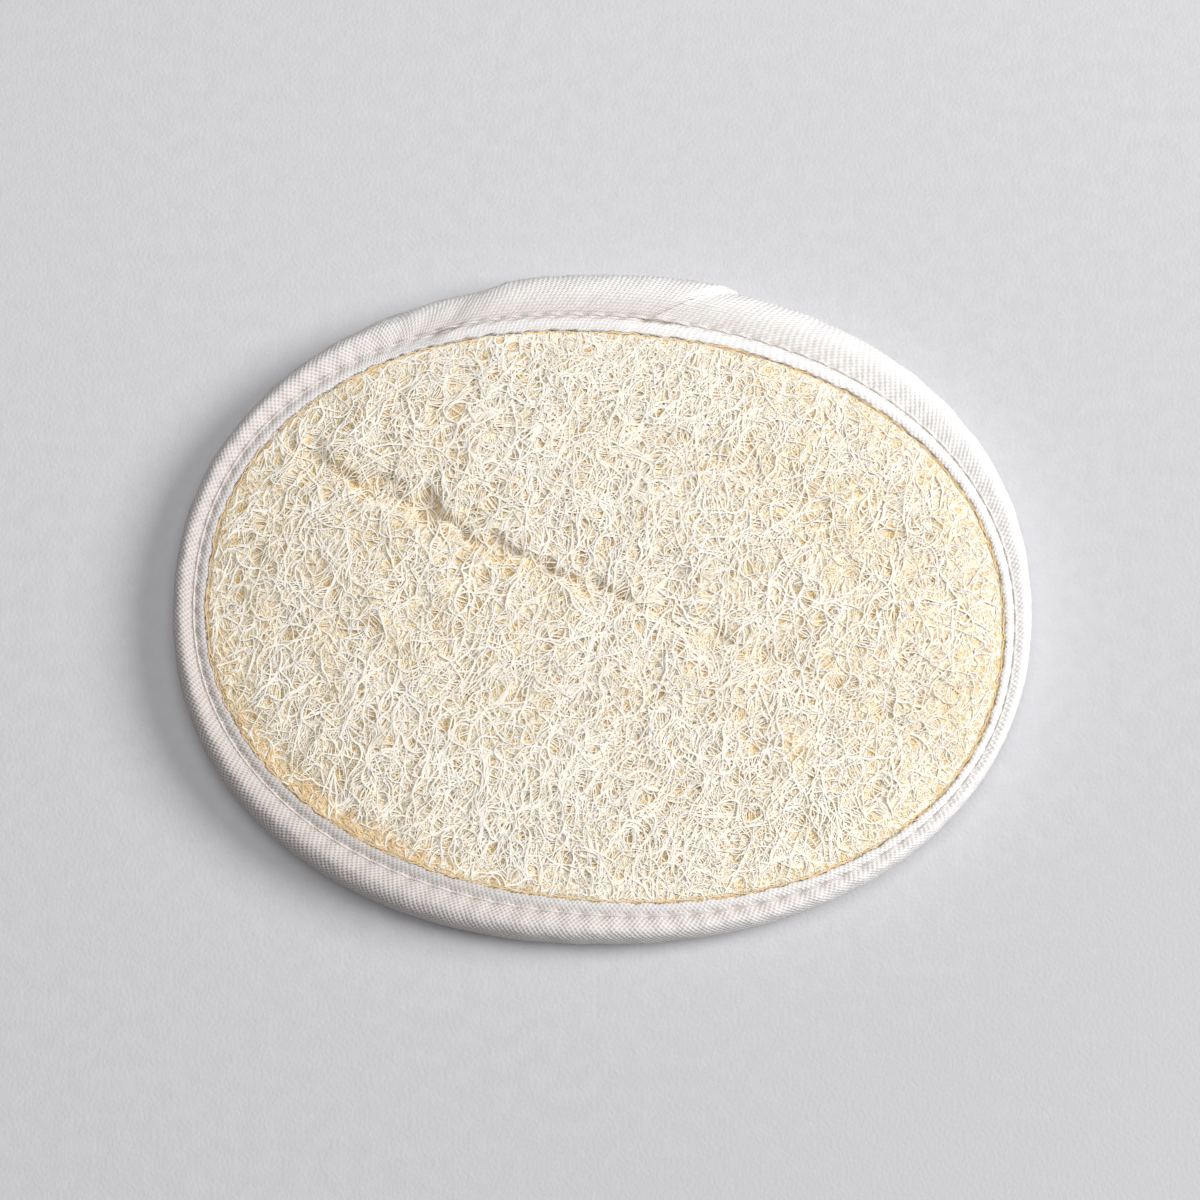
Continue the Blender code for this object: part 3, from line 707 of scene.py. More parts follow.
def long_strands(count, steps, depth, push, spread, follow, wander, diameter):
    """Long strands that follow the lie and part round the openings. depth and diameter are
    the least and the most, in millimetres."""
    starts = scattered(count, draw, 1.12)
    heading = fibre_direction(starts) + draw.normal(0, spread, count)
    heading += np.pi * draw.integers(0, 2, count)
    paths = walk(starts, heading, steps, LONG_STEP, follow, wander, draw)
    paths = eased(aside(paths, push))
    paths = laid(paths, draw.uniform(*depth, count) * MM, LONG_WAVE, draw)
    thin, thick = diameter
    thick = thin + (thick - thin) * draw.random((count, 1)) ** 1.7
    # a strand is thinner towards both ends, and uneven
    along = np.linspace(0, 1, steps + 1)
    radii = thick / 2 * MM * (0.55 + 0.45 * np.sin(np.pi * along) ** 0.5)[None, :]
    radii = radii * (1 + 0.15 * draw.normal(size=radii.shape).clip(-1.5, 1.5))
    return clipped(paths, radii, draw.random(count))


long = long_strands(LONG_STRANDS, steps=14, depth=(-0.05, 0.34), push=0.75, spread=0.45,
                    follow=0.08, wander=0.30, diameter=(0.16, 0.38))
web_strands("loofah_long_strands", *long, top_finish)

# %% [markdown]
# ## Branching strands
# Loofah isn't woven: its fibres fork and meet again. Stars of two to four short arms, each
# star standing at one meeting point, tie the long strands into a net.

# %% Branching strands
MEETING_POINTS, ARM_STEP, ARM_WAVE = 2300, 0.5 * MM, 0.08 * MM


def star_strands(count, steps, depth, push, diameter):
    """Short strands that leave a meeting point in several directions. depth and diameter
    are the least and the most, in millimetres."""
    nodes = aside(scattered(count, draw, 1.06), 1.0)
    arms = draw.integers(2, 5, count)
    starts = np.repeat(nodes, arms, 0)
    first = np.repeat(draw.uniform(0, TAU, count), arms)
    number = np.concatenate([np.arange(a) for a in arms])
    heading = first + TAU * number / np.repeat(arms, arms)
    heading += draw.normal(0, 0.35, len(first))
    paths = walk(starts, heading, steps, ARM_STEP, 0.05, 0.36, draw)
    paths = eased(aside(paths, push))
    sunk = np.repeat(draw.uniform(*depth, count), arms) * MM
    sunk = sunk + draw.uniform(-0.08, 0.22, len(sunk)) * MM
    paths = laid(paths, sunk, ARM_WAVE, draw, dip=0.15)
    thick = draw.uniform(*diameter, (len(paths), 1)) / 2 * MM
    taper = np.linspace(1, 0.55, steps + 1)[None, :]
    return clipped(paths, thick * taper, draw.random(len(paths)))


stars = star_strands(MEETING_POINTS, steps=7, depth=(0.0, 0.33), push=0.6, diameter=(0.14, 0.26))
web_strands("loofah_branches", *stars, top_finish)

# %% [markdown]
# ## Lower strands
# Through the net's openings a second layer shows, deeper, thicker and lying in more
# directions. The same walk makes it, only sunk further under the face.

# %% Lower strands
LOWER_STRANDS = 1100
lower = long_strands(LOWER_STRANDS, steps=13, depth=(0.38, 0.72), push=0.5, spread=0.7,
                     follow=0.03, wander=0.2, diameter=(0.22, 0.34))
web_strands("loofah_lower_strands", *lower, top_finish)

# %% [markdown]
# ## Ladder strands
# Many openings are crossed by a few fine fibres side by side, like the rungs of a ladder.
# They belong to their opening, so they are placed from its middle, size and turn.

# %% Ladder strands across the openings
def ladder_strands():
    """Fine strands that cross the openings, a few side by side in each."""
    inside = window_share(opening_middle) < 0.99
    paths, radii, tones = [], [], []
    openings = zip(opening_middle[inside], opening_half_long[inside], opening_turn[inside])
    for middle, half, turn in openings:
        count = draw.integers(1, 6)
        lean = turn + np.pi / 2 + draw.normal(0, 0.6)
        run = np.array((math.cos(lean), math.sin(lean)))
        beside = np.array((-run[1], run[0]))
        depth = draw.uniform(0.2, 0.55) * MM
        for k in range(count):
            off = (k - (count - 1) / 2) * draw.uniform(0.25, 0.42) * MM
            t = np.linspace(-1, 1, 5)[:, None]
            bow = draw.normal(0, 0.12) * MM
            flat = middle + beside * (off + bow * (1 - t**2)) + run * t * (half + 0.5 * MM)
            z = web_height(flat) - depth + 0.12 * MM * draw.normal()
            paths.append(np.column_stack((flat, z)))
            radii.append(np.full(5, draw.uniform(0.13, 0.22) / 2 * MM))
            tones.append(draw.random())
    return paths, radii, np.array(tones)


web_strands("loofah_ladders", *ladder_strands(), top_finish)

# %% [markdown]
# ## Loose curls
# Cutting and pressing break fibres, and their fine ends curl up out of the face. They walk
# with a steady turn of their own and don't keep to the lie.

# %% Loose curls
CURLS, CURL_STEPS, CURL_STEP = 1700, 9, 0.42 * MM


def curl_strands():
    """Fine broken ends that curl up out of the web."""
    starts = scattered(CURLS, draw, 0.99)
    curl = draw.normal(0, 0.30, CURLS)
    heading = draw.uniform(0, TAU, CURLS)
    paths = walk(starts, heading, CURL_STEPS, CURL_STEP, 0.0, 0.15, draw, curl)
    paths = laid(paths, draw.uniform(-0.18, 0.08, CURLS) * MM, 0.12 * MM, draw, dip=0.3)
    thick = draw.uniform(0.15, 0.25, (CURLS, 1)) / 2 * MM
    taper = np.linspace(1, 0.7, CURL_STEPS + 1)[None, :]
    return clipped(paths, thick * taper, draw.random(CURLS))


web_strands("loofah_curls", *curl_strands(), top_finish)

# %% [markdown]
# ## Amber fibres
# A thin line of darker, amber fibres is laid in places where the web comes out from under the tape,
# as painted shadow of the tape's lip, and a patch of them lies in the hollow at the lower left, as
# painted shade of the hollow. Broken runs along the window's edge make the first, and short
# wandering fibres in the hollow make the second.

# %% Amber fibres beside the tape
LIP_FIBRE_INSET, LIP_FIBRE_Z = 0.12 * MM, FACE_LIP_Z - 0.20 * MM
LIP_FIBRE_STEP, LIP_PASSES, HOLLOW_SHADE_FIBRES = 0.50 * MM, 3, 230
fine_angle = np.linspace(0, TAU, 2881)


def lengths_along(line):
    """Length walked along a line, up to each of its points."""
    steps = np.linalg.norm(np.diff(line, axis=0), axis=1)
    return np.concatenate(([0], np.cumsum(steps)))


def lip_fibres(passes):
    """Broken wavy runs of amber fibre where the web comes out from under the tape, as painted
    shadow of the tape's lip.
    """
    window_length = lengths_along(window_point(fine_angle))
    paths, radii, tones = [], [], []
    for number in range(passes):
        walked = draw.uniform(0, 8) * MM
        while walked < window_length[-1]:
            count = draw.integers(6, 26)
            at = walked + np.arange(count) * LIP_FIBRE_STEP
            angle = np.interp(at % window_length[-1], window_length, fine_angle)
            spot = np.column_stack((at, 0 * at + 5 * MM * number))
            sway = 0.16 * soft_noise(spot, 0.9 * MM, 61 + number) + draw.normal(0, 0.08)
            inset = LIP_FIBRE_INSET + 0.10 * MM * number + sway * MM
            reach = np.linalg.norm(window_point(angle) - WINDOW_MIDDLE, axis=1)
            flat = window_point(angle, 1 - inset / reach)
            lift = 0.16 * MM * soft_noise(spot, 1.8 * MM, 71 + number)
            paths.append(np.column_stack((flat, LIP_FIBRE_Z + lift)))
            radii.append(np.full(count, draw.uniform(0.12, 0.22) / 2 * MM))
            tones.append(draw.random())
            walked += count * LIP_FIBRE_STEP + draw.uniform(0, 9) * MM
    return paths, radii, np.array(tones)


# %% Amber fibres in the hollow
def hollow_shade_fibres(count):
    """A coarse amber mesh in the hollow, as painted shade of the hollow."""
    angle = HOLLOW_TOWARDS + draw.normal(0, 0.34, count)
    starts = window_point(angle, draw.uniform(0.962, 0.998, count))
    paths = walk(starts, draw.uniform(0, TAU, count), 7, 0.40 * MM, 0.0, 0.4, draw)
    paths = laid(eased(paths), draw.uniform(-0.10, 0.25, count) * MM, 0.1 * MM, draw, dip=0.1)
    thick = draw.uniform(0.13, 0.24, (count, 1)) / 2 * MM
    return list(paths), list(thick * np.ones(8)), draw.random(count)


lip, hollow_shade = lip_fibres(LIP_PASSES), hollow_shade_fibres(HOLLOW_SHADE_FIBRES)
amber = [lip[0] + hollow_shade[0], lip[1] + hollow_shade[1], np.concatenate((lip[2], hollow_shade[2]))]
web_strands("loofah_skin_fibres", *amber, amber_finish)

# %% [markdown]
# ## The matted body of the web
# Between the strands the fibres lie so close that they read as one cream felt, with a pit at each
# opening that is painted tan as shade. It is a closed piece: a fine grid is carried to the window's
# oval and to its height, then its edge is drawn down and in underneath, over the foam.

# %% Heights of the mat
MAT_COLUMNS, MAT_ROWS = 310, 250
MAT_DEPTH, PIT_DEPTH, RIM_DEPTH = 0.30 * MM, 0.34 * MM, 0.10 * MM
MAT_EDGE = 1.03
MAT_UNDERSIDE = np.append([MAT_EDGE, 1.0, 0.84], np.linspace(0.82, 0.1, 9))


def mat_top(flat):
    """Height of the mat under the strands."""
    thick = np.clip(2.5 * (1 - window_share(flat) ** CROWN_POWER), 0, 1)
    lumps = 0.10 * soft_noise(flat, 0.9 * MM, 5) + 0.07 * soft_noise(flat, 0.5 * MM, 6)
    depth = MAT_DEPTH + PIT_DEPTH * openness(flat) + lumps * MM
    under_lip = 0.12 * MM * smooth_step((window_share(flat) - 0.99) / 0.01)
    return web_height(flat) - RIM_DEPTH - under_lip - depth * thick


def mat_floor(share):
    """Height of the mat's underside, over the foam and the tape's inner edge."""
    over_foam = FOAM_TOP + CLEARANCE - 3.4 * MM * smooth_step((share - 0.44) / 0.38)
    return over_foam if share < 0.83 else WEB_UNDER


def on_window(square):
    """Carries points of a square that reaches from -1 to 1 to the mat's oval."""
    u, v = square[:, 0], square[:, 1]
    x, y = u * np.sqrt(1 - v**2 / 2), v * np.sqrt(1 - u**2 / 2)
    angle = np.arctan2(y * WINDOW_HALVES[1], x * WINDOW_HALVES[0]) + WINDOW_TURN
    return window_point(angle, MAT_EDGE * np.hypot(x, y))


def drawn_in(bm, share):
    """Draws the mat's open edge to this share of the window, on its underside."""
    edges = [e for e in bm.edges if e.is_boundary]
    made = bmesh.ops.extrude_edge_only(bm, edges=edges)["geom"]
    verts = [v for v in made if isinstance(v, bmesh.types.BMVert)]
    flat = np.array([v.co[:2] for v in verts]) - WINDOW_MIDDLE
    places = window_point(np.arctan2(flat[:, 1], flat[:, 0]), share)
    for v, place in zip(verts, places):
        v.co = (*place, mat_floor(share))


# %% The mat
bm = bmesh.new()
bmesh.ops.create_grid(bm, x_segments=MAT_COLUMNS, y_segments=MAT_ROWS, size=1.0)
square = np.array([v.co[:2] for v in bm.verts])
flat = on_window(square)
height = np.maximum(mat_top(flat), WEB_UNDER + 0.25 * MM)
for v, place, z in zip(bm.verts, flat, height):
    v.co = (*place, z)
for share in MAT_UNDERSIDE:
    drawn_in(bm, share)
bmesh.ops.holes_fill(bm, edges=[e for e in bm.edges if e.is_boundary], sides=0)
bmesh.ops.recalc_face_normals(bm, faces=bm.faces)
mesh = bpy.data.meshes.new("loofah_mat")
bm.to_mesh(mesh)
bm.free()
places = vertex_places(mesh)[:, :2]
set_attribute(mesh, "open", openness(places))
set_attribute(mesh, "creased", np.clip(creased(places) / CREASE_TINTED, 0, 1))
mesh.shade_smooth()
mat = bpy.data.objects.new("loofah_mat", mesh)
SCENE.collection.objects.link(mat)
print("loofah_mat", len(mesh.polygons), "faces")

# %% [markdown]
# ## The colour of the matted body
# The mat shows only between strands, where the real net goes on in fibres too fine to model. Two
# scales of a cell pattern, bent by noise so that no cell is regular, draw those fibres in cream
# over tan. The tan is partly the fibre's own colour and partly painted shade of the depths, and it
# deepens to gold in the pits and in the folds as painted shade.

# %% Finish of the mat
MAT_FIBRE, MAT_TAN = (0.98, 0.91, 0.75), (0.96, 0.78, 0.49)
MAT_PIT_SHADE = (0.94, 0.66, 0.31)
mat_finish = Finish("loofah_mat", MAT_FIBRE, 0.75, specular=0.2)
where = mat_finish.node("TexCoord").outputs["Object"]
warp = mat_finish.node("TexNoise", {"Vector": where, "Scale": 0.9 / MM, "Detail": 2.0})
warp = {0: warp.outputs["Color"], "Scale": 0.7 * MM}
warp = mat_finish.node("VectorMath", warp, operation="SCALE")
bent = mat_finish.node("VectorMath", {0: where, 1: warp.outputs[0]}, operation="ADD").outputs[0]


def net(cell_mm, low, high):
    """Fine fibres round cells of about this size: 1 on a fibre, 0 between them."""
    cells = mat_finish.node("TexVoronoi", {"Vector": bent, "Scale": 1 / (cell_mm * MM)},
                            feature="DISTANCE_TO_EDGE")
    return mat_finish.spread(cells.outputs["Distance"], low, high, 1.0, 0.0)


fibres = mat_finish.math("MAXIMUM", net(1.3, 0.04, 0.13), net(0.7, 0.03, 0.15))
# the folds and the pits are painted gold: painted shade
fold = mat_finish.math("MULTIPLY", mat_finish.attribute("creased"), 0.95)
depth = mat_finish.math("MAXIMUM", mat_finish.attribute("open"), fold)
between = mat_finish.mix(depth, MAT_TAN, MAT_PIT_SHADE)
shown = mat_finish.math("MULTIPLY", fibres, mat_finish.spread(depth, 0.0, 1.0, 0.9, 0.45))
mat_finish.colour(mat_finish.mix(shown, between, MAT_FIBRE))
mat_finish.bump(fibres, 0.16)

# %% [markdown]
# ## Pieces spun round the middle
# The foam and the terry cloth are closed ovals whose section changes round the pad. Both
# start as a line of points that the spin operator turns once round, and each ring of the
# spun net is then carried to its own place. The mat has its form already, so here it only
# gets its finish.

# %% Spun pieces
def spun(name, segments, rings):
    """A closed piece. rings(angles) gives the places of its rings, one pole to the other."""
    angles = TAU * np.arange(segments) / segments
    table = [np.column_stack((flat, height + 0 * angles)) for flat, height in rings(angles)]
    bm = bmesh.new()
    verts = [bm.verts.new((k, 0, 0)) for k in range(len(table))]
    edges = [bm.edges.new(pair) for pair in zip(verts, verts[1:])]
    bmesh.ops.spin(bm, geom=verts + edges, cent=(0, 0, 0), axis=(0, 0, 1), angle=TAU,
                   steps=segments, use_merge=True, use_duplicate=False)
    bmesh.ops.remove_doubles(bm, verts=bm.verts, dist=1e-4)
    for v in bm.verts:
        ring = round(math.hypot(v.co.x, v.co.y))
        segment = round(math.atan2(v.co.y, v.co.x) / TAU * segments) % segments
        v.co = table[ring][segment]
    bmesh.ops.remove_doubles(bm, verts=bm.verts, dist=1e-7)
    bmesh.ops.recalc_face_normals(bm, faces=bm.faces)
    mesh = bpy.data.meshes.new(name)
    bm.to_mesh(mesh)
    bm.free()
    mesh.shade_smooth()
    piece = bpy.data.objects.new(name, mesh)
    SCENE.collection.objects.link(piece)
    print(name, len(mesh.polygons), "faces")
    return piece


def dress(piece, finish, slot, *nodes):
    """The piece gets its finish, rides on the pad and stands for these nodes."""
    print(piece.name, "has the finish", finish.material.name, "of", len(finish.tree.nodes), "nodes")
    piece.data.materials.append(finish.material)
    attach(piece, "pad")
    if nodes:
        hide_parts(*nodes)


dress(mat, mat_finish, "loofah", "loofah_web")

# %% [markdown]
# ## The binding tape
# One strip of canvas is folded over the edges of all the layers and sewn down. It starts
# here as what it is, a flat strip made with the grid operator. Each point is then carried
# to its place on the rim: across the strip it follows the folded section, and along the
# strip it walks once round the pad and overlaps its own start.

# %% Where things lie on the rim
STITCH_PITCH = 3.5 * MM
JOIN_START, JOIN_OVERLAP = math.radians(99.5), 32.0 * MM
JOIN_SLANT, JOIN_SLANT_BEHIND = 1.95, 0.8
JOIN_RAMP, JOIN_UNSLANT = 7.0 * MM, 42.0 * MM
JOIN_LAYER = TAPE_THICKNESS + CLEARANCE
BACK_LIP, BACK_SEAM_HALF = 3.0 * MM, 1.2 * MM
FACE_GROOVE, FARTHEST_OUT, BACK_GROOVE = 3, 8, 13


def face_width(angle):
    """Width of the tape on the face."""
    return np.linalg.norm(window_point(angle) - outline_point(angle), axis=-1)


def seam_inward(angle):
    """How far inside the outer edge the stitches run."""
    width = face_width(angle)
    return width - 1.2 * MM - 0.14 * width


def rim_point(angle, inward):
    """Flat points this far inside the outer edge, towards the window's edge."""
    outer = outline_point(angle)
    across = window_point(angle) - outer
    across = across / np.linalg.norm(across, axis=-1, keepdims=True)
    return outer + across * np.asarray(inward)[..., None]


def quarter_round(inward, middle, end, degrees):
    """Points of a quarter oval from the rim's outermost line to this height."""
    return [(inward * (1 - math.cos(t)), middle + (end - middle) * math.sin(t))
            for t in map(math.radians, degrees)]


# %% The folded tape in section
LIP_TUCK, LIP_DROP = 0.30 * MM, 0.12 * MM
LEAST_ROLL, ROLL_PER_WIDTH = 0.6 * MM, 0.12


def tape_section(angle):
    """The tape's outer skin at these angles, as (inward, height) from face edge to back edge."""
    width, seam = face_width(angle), seam_inward(angle)
    # where the tape is narrow on the face it rolls less, and the right side is pulled flat
    fullness = 0.35 + 0.65 * smooth_step((seam - 2.8 * MM) / (2.2 * MM))
    fullness = fullness * (1 - 0.55 * smooth_step((np.cos(angle) - 0.3) / 0.5))
    lip, rise = width - seam, (LEAST_ROLL + ROLL_PER_WIDTH * seam) * fullness
    one = np.ones_like(seam)
    points = [
        # the lip on the face, from its tucked edge to the stitches
        (width, (FACE_LIP_Z - LIP_TUCK) * one),
        (width - 0.3 * lip, FACE_LIP_Z * one),
        (seam + 0.4 * lip, (FACE_LIP_Z - LIP_DROP) * one),
        (seam, FACE_SEAM_Z * one),
        # the roll outside the stitches, down to the farthest point
        (0.8 * seam, FACE_SEAM_Z + 0.4 * rise),
        *quarter_round(0.5 * seam, RIM_MIDDLE_Z, FACE_SEAM_Z + rise, (90, 62, 35)),
        (0.0 * seam, RIM_MIDDLE_Z * one),
        # in again underneath, past the stitches on the back
        *quarter_round(0.4 * seam, RIM_MIDDLE_Z, OFF_FLOOR, (35, 62, 90)),
        (0.6 * seam, OFF_FLOOR * one),
        (seam, BACK_SEAM_Z * one),
        (seam + BACK_SEAM_HALF, OFF_FLOOR * one),
        (seam + BACK_LIP, OFF_FLOOR * one),
    ]
    return np.stack([np.stack((x, z * one), -1) for x, z in points], -2)


# %% Lengths along the section, and places beside it
def section_runs(section):
    """The way the section runs at each of its points, as unit arrows."""
    run = np.empty_like(section)
    run[..., 1:-1, :] = section[..., 2:, :] - section[..., :-2, :]
    run[..., 0, :] = section[..., 1, :] - section[..., 0, :]
    run[..., -1, :] = section[..., -1, :] - section[..., -2, :]
    return run / np.linalg.norm(run, axis=-1, keepdims=True)


def lifted(section, lift):
    """The section moved outwards by this much, square to itself."""
    run = section_runs(section)
    return section + np.stack((run[..., 1], -run[..., 0]), -1) * np.asarray(lift)[..., None]


def section_lengths(section):
    """Length walked along the section, up to each of its points."""
    steps = np.linalg.norm(np.diff(section, axis=-2), axis=-1)
    return np.concatenate((np.zeros_like(steps[..., :1]), np.cumsum(steps, -1)), -1)


# %% [markdown]
# ## Round the rim by the tape measure
# Stitches and weave keep their size all round the pad, so places on the rim are counted in
# millimetres walked and not in degrees. Tables made from a fine outline turn one into the
# other. A smooth line through the section's corner points then gives the rows across the
# tape.

# %% Walking round the rim
outline_length = lengths_along(outline_point(fine_angle))
ONCE_ROUND = outline_length[-1]
seam_length = lengths_along(rim_point(fine_angle, seam_inward(fine_angle)))
STITCHES = round(seam_length[-1] / STITCH_PITCH)
print(f"once round {ONCE_ROUND / MM:.0f} mm, {STITCHES} stitches")


def angle_walked(distance):
    """Polar angle reached by walking clockwise from the join's start."""
    start = np.interp(JOIN_START, fine_angle, outline_length)
    return np.interp((start - distance) % ONCE_ROUND, outline_length, fine_angle)


def stitch_phase(angle):
    """Counts stitches round the seam, in radians: a full turn is one stitch, 0 at a hole."""
    return TAU * STITCHES * np.interp(angle % TAU, fine_angle, seam_length) / seam_length[-1]


# %% A smooth section through the folded tape
ROWS_BETWEEN = (2, 2, 3, 4, 4, 3, 3, 3, 3, 2, 2, 2, 2, 2, 2)


def smooth_weights(rows_between):
    """Shares of the section's own points that give each row of a smooth line through them, by
    the cubic curve that passes through four points in a row."""
    count = len(rows_between) + 1
    rows = []
    for k, between in enumerate(rows_between):
        for t in np.arange(between) / between:
            shares = np.zeros(count)
            parts = (-t + 2 * t**2 - t**3, 2 - 5 * t**2 + 3 * t**3,
                     t + 4 * t**2 - 3 * t**3, -(t**2) + t**3)
            for near, part in zip((k - 1, k, k + 1, k + 2), parts):
                shares[min(max(near, 0), count - 1)] += part / 2
            rows.append(shares)
    last = np.zeros(count)
    last[-1] = 1
    return np.array(rows + [last])


WEIGHTS = smooth_weights(ROWS_BETWEEN)
GROOVE_ROW = sum(ROWS_BETWEEN[:FACE_GROOVE])
print(len(WEIGHTS), "rows across the tape")

# %% [markdown]
# ## Folding the strip over the rim
# The strip's places are worked out for all its points at once. The last 32 mm lie on top of
# the start, so there the section is lifted by one layer, its ends are cut on a slant, and
# the end is pressed down thin as an iron leaves it. Then the stitches pull the cloth in:
# it sinks at each hole, stands up between two holes, and its edge wavers with them. The
# same numbers are kept as attributes, for the canvas to be shaded by.

# %% A flat strip of cloth
def strip(name, columns, rows):
    """A flat strip of cloth, one unit long and wide, with a map for its weave."""
    bm = bmesh.new()
    bm.loops.layers.uv.new("weave")
    bmesh.ops.create_grid(bm, x_segments=columns, y_segments=rows, size=0.5, calc_uvs=True)
    mesh = bpy.data.meshes.new(name)
    bm.to_mesh(mesh)
    bm.free()
    places = vertex_places(mesh)
    column = np.rint((places[:, 0] + 0.5) * columns).astype(int)
    row = np.rint((places[:, 1] + 0.5) * rows).astype(int)
    piece = bpy.data.objects.new(name, mesh)
    SCENE.collection.objects.link(piece)
    return piece, column, row


def set_places(mesh, places):
    mesh.vertices.foreach_set("co", places.astype(np.float32).ravel())
    mesh.update()


def set_weave(mesh, along, across):
    """Writes the cloth's own lengths, in millimetres, into its map."""
    corner = np.empty(len(mesh.loops), np.int32)
    mesh.loops.foreach_get("vertex_index", corner)
    flat = np.column_stack((along, across))[corner] / MM
    mesh.uv_layers["weave"].uv.foreach_set("vector", flat.astype(np.float32).ravel())


# %% Over its own start
STATIONS_PER_STITCH = 8
PRESSED_END, PRESSED_LIP, PRESSED_BY = 1.8 * MM, (0.3, 0.5, 0.85), 0.55
TAPE_LENGTH = ONCE_ROUND + JOIN_OVERLAP
STATIONS = round(TAPE_LENGTH / STITCH_PITCH * STATIONS_PER_STITCH)


def join_slant(angle):
    """How far round each point of the section is carried at the tape's slanted ends."""
    inward = tape_section(angle)[..., 0]
    on_face = np.arange(inward.shape[-1]) < FARTHEST_OUT
    slant = np.where(on_face, -JOIN_SLANT, JOIN_SLANT_BEHIND)
    return inward * slant / np.linalg.norm(outline_point(angle), axis=-1)[..., None]


def carried_round():
    """The tape before it is stitched, as [station, row]: its polar angles, its section lines,
    and each point's place on the flat cloth."""
    walked = np.linspace(0, TAPE_LENGTH, STATIONS + 1)
    angle = angle_walked(walked)
    on_top = smooth_step((walked - (ONCE_ROUND - 1.5 * JOIN_RAMP)) / JOIN_RAMP)
    at_end = smooth_step((walked - TAPE_LENGTH + PRESSED_END) / PRESSED_END)
    on_top = on_top * (1 - PRESSED_BY * at_end)
    near_end = smooth_step((walked - (ONCE_ROUND - JOIN_UNSLANT)) / JOIN_UNSLANT)
    near_start = 1 - smooth_step((walked - JOIN_OVERLAP) / JOIN_UNSLANT)
    slant = join_slant(angle) @ WEIGHTS.T
    turned_angle = angle[:, None] - slant * np.maximum(near_end, near_start)[:, None]
    pressed = np.ones(len(ROWS_BETWEEN) + 1)
    pressed[:FACE_GROOVE] = PRESSED_LIP
    lift = (on_top * JOIN_LAYER)[:, None, None] * pressed
    section = lifted(tape_section(turned_angle), lift)
    line = np.einsum("rk,srkc->src", WEIGHTS, section)
    across = section_lengths(line)
    return turned_angle, line, np.stack((walked[:, None] + 0 * across, across), -1)


# %% What the stitches do to the cloth
HOLE_PULL, ROLL_PUFF, LIP_WAVE, EDGE_SCALLOP = 0.26, 0.15, 0.05, 0.10
# the side of the rim facing the key lamp, where the canvas is painted lighter as painted light, and
# how fast that painted light falls off round the rim
LIT_SIDE, LIT_FALL = math.radians(25.0), 1.6
ON_LIP, BEHIND = 1, -1


def from_groove(cloth, way):
    """Millimetres from the stitches, towards the lip or the other way."""
    across = cloth[..., 1]
    return way * (across[:, GROOVE_ROW, None] - across) / MM


def stitched(angle, line, cloth):
    """The section lines pulled in at every hole, and puffed out between the holes."""
    on_lip, behind = from_groove(cloth, ON_LIP), from_groove(cloth, BEHIND)
    phase = stitch_phase(angle[:, GROOVE_ROW])[:, None]
    hole = 0.5 + 0.5 * np.cos(phase)
    out_by = -HOLE_PULL * hole * bump(on_lip, 0.75)
    out_by += ROLL_PUFF * (0.5 - hole) * bump(behind - 1.9, 1.4)
    out_by += LIP_WAVE * np.cos(phase + 0.6) * bump(on_lip - 0.9, 0.7)
    loose = smooth_step(behind / 2.5) * smooth_step((12 - behind) / 5)
    creases = 0.06 * soft_noise(cloth, 3.2 * MM, 41) + 0.05 * soft_noise(cloth, 1.3 * MM, 42)
    out_by += loose * creases
    scallop = np.cos(phase + 0.4) + soft_noise(cloth[:, :1], 1.2 * MM, 43)
    line = lifted(line, out_by * MM)
    line[..., 0] += bump(cloth[..., 1], 0.9 * MM) * EDGE_SCALLOP * scallop * MM
    return line


def canvas_marks(angle, cloth):
    """What the canvas is shaded by. On the side painted lighter for the key lamp the seam hardly
    shows, as its marks are painted fainter there.
    """
    on_lip, behind = from_groove(cloth, ON_LIP), from_groove(cloth, BEHIND)
    hole = 0.5 + 0.5 * np.cos(stitch_phase(angle[:, GROOVE_ROW])[:, None])
    # the seam's marks are painted fainter towards the right, where painted light washes them out
    shows = 1 - 0.8 * smooth_step((np.cos(angle) - 0.5) / 0.4)
    return {
        "groove": bump(behind - 0.9, 2.0) * shows,
        "lip": smooth_step((on_lip - 0.35) / 0.5) * shows,
        "hole": hole**2 * bump(on_lip, 0.5) * shows,
        "painted_light": 1 - (0.5 - 0.5 * np.cos(angle - LIT_SIDE)) ** LIT_FALL,
    }


# %% The tape
tape, column, row = strip("binding_tape_canvas", STATIONS, len(WEIGHTS) - 1)
angle, line, cloth = carried_round()
line = stitched(angle, line, cloth)
places = np.concatenate((rim_point(angle, line[..., 0]), line[..., 1:]), -1)
set_places(tape.data, places[column, row])
set_weave(tape.data, *cloth[column, row].T)
for name, values in canvas_marks(angle, cloth).items():
    set_attribute(tape.data, name, values[column, row])
tape.data.shade_smooth()
wall = tape.modifiers.new("tape_thickness", "SOLIDIFY")
wall.thickness, wall.offset, wall.use_even_offset = TAPE_THICKNESS, -1, False
print("tape", len(tape.data.polygons), "faces before its thickness")

# %% [markdown]
# ## Canvas
# The tape is undyed canvas in plain weave, with yarns about half a millimetre wide. Two sine waves
# multiplied give the basket of a plain weave, in millimetres of the cloth's own map, so the weave
# follows the folds. The cloth is painted greyer on the left and lighter on the right, as painted
# shade and painted light from the key lamp at the right, and its lip is painted lighter still. It
# is painted a little darker in the groove of the stitches and darkest at each hole, as painted
# shade.

# %% Canvas
# the weave's map counts in millimetres, and so do these
YARN_ALONG, YARN_ACROSS, WEAVE_DEPTH, WOBBLES_PER_MM = 0.43, 0.50, 0.15, 1.3
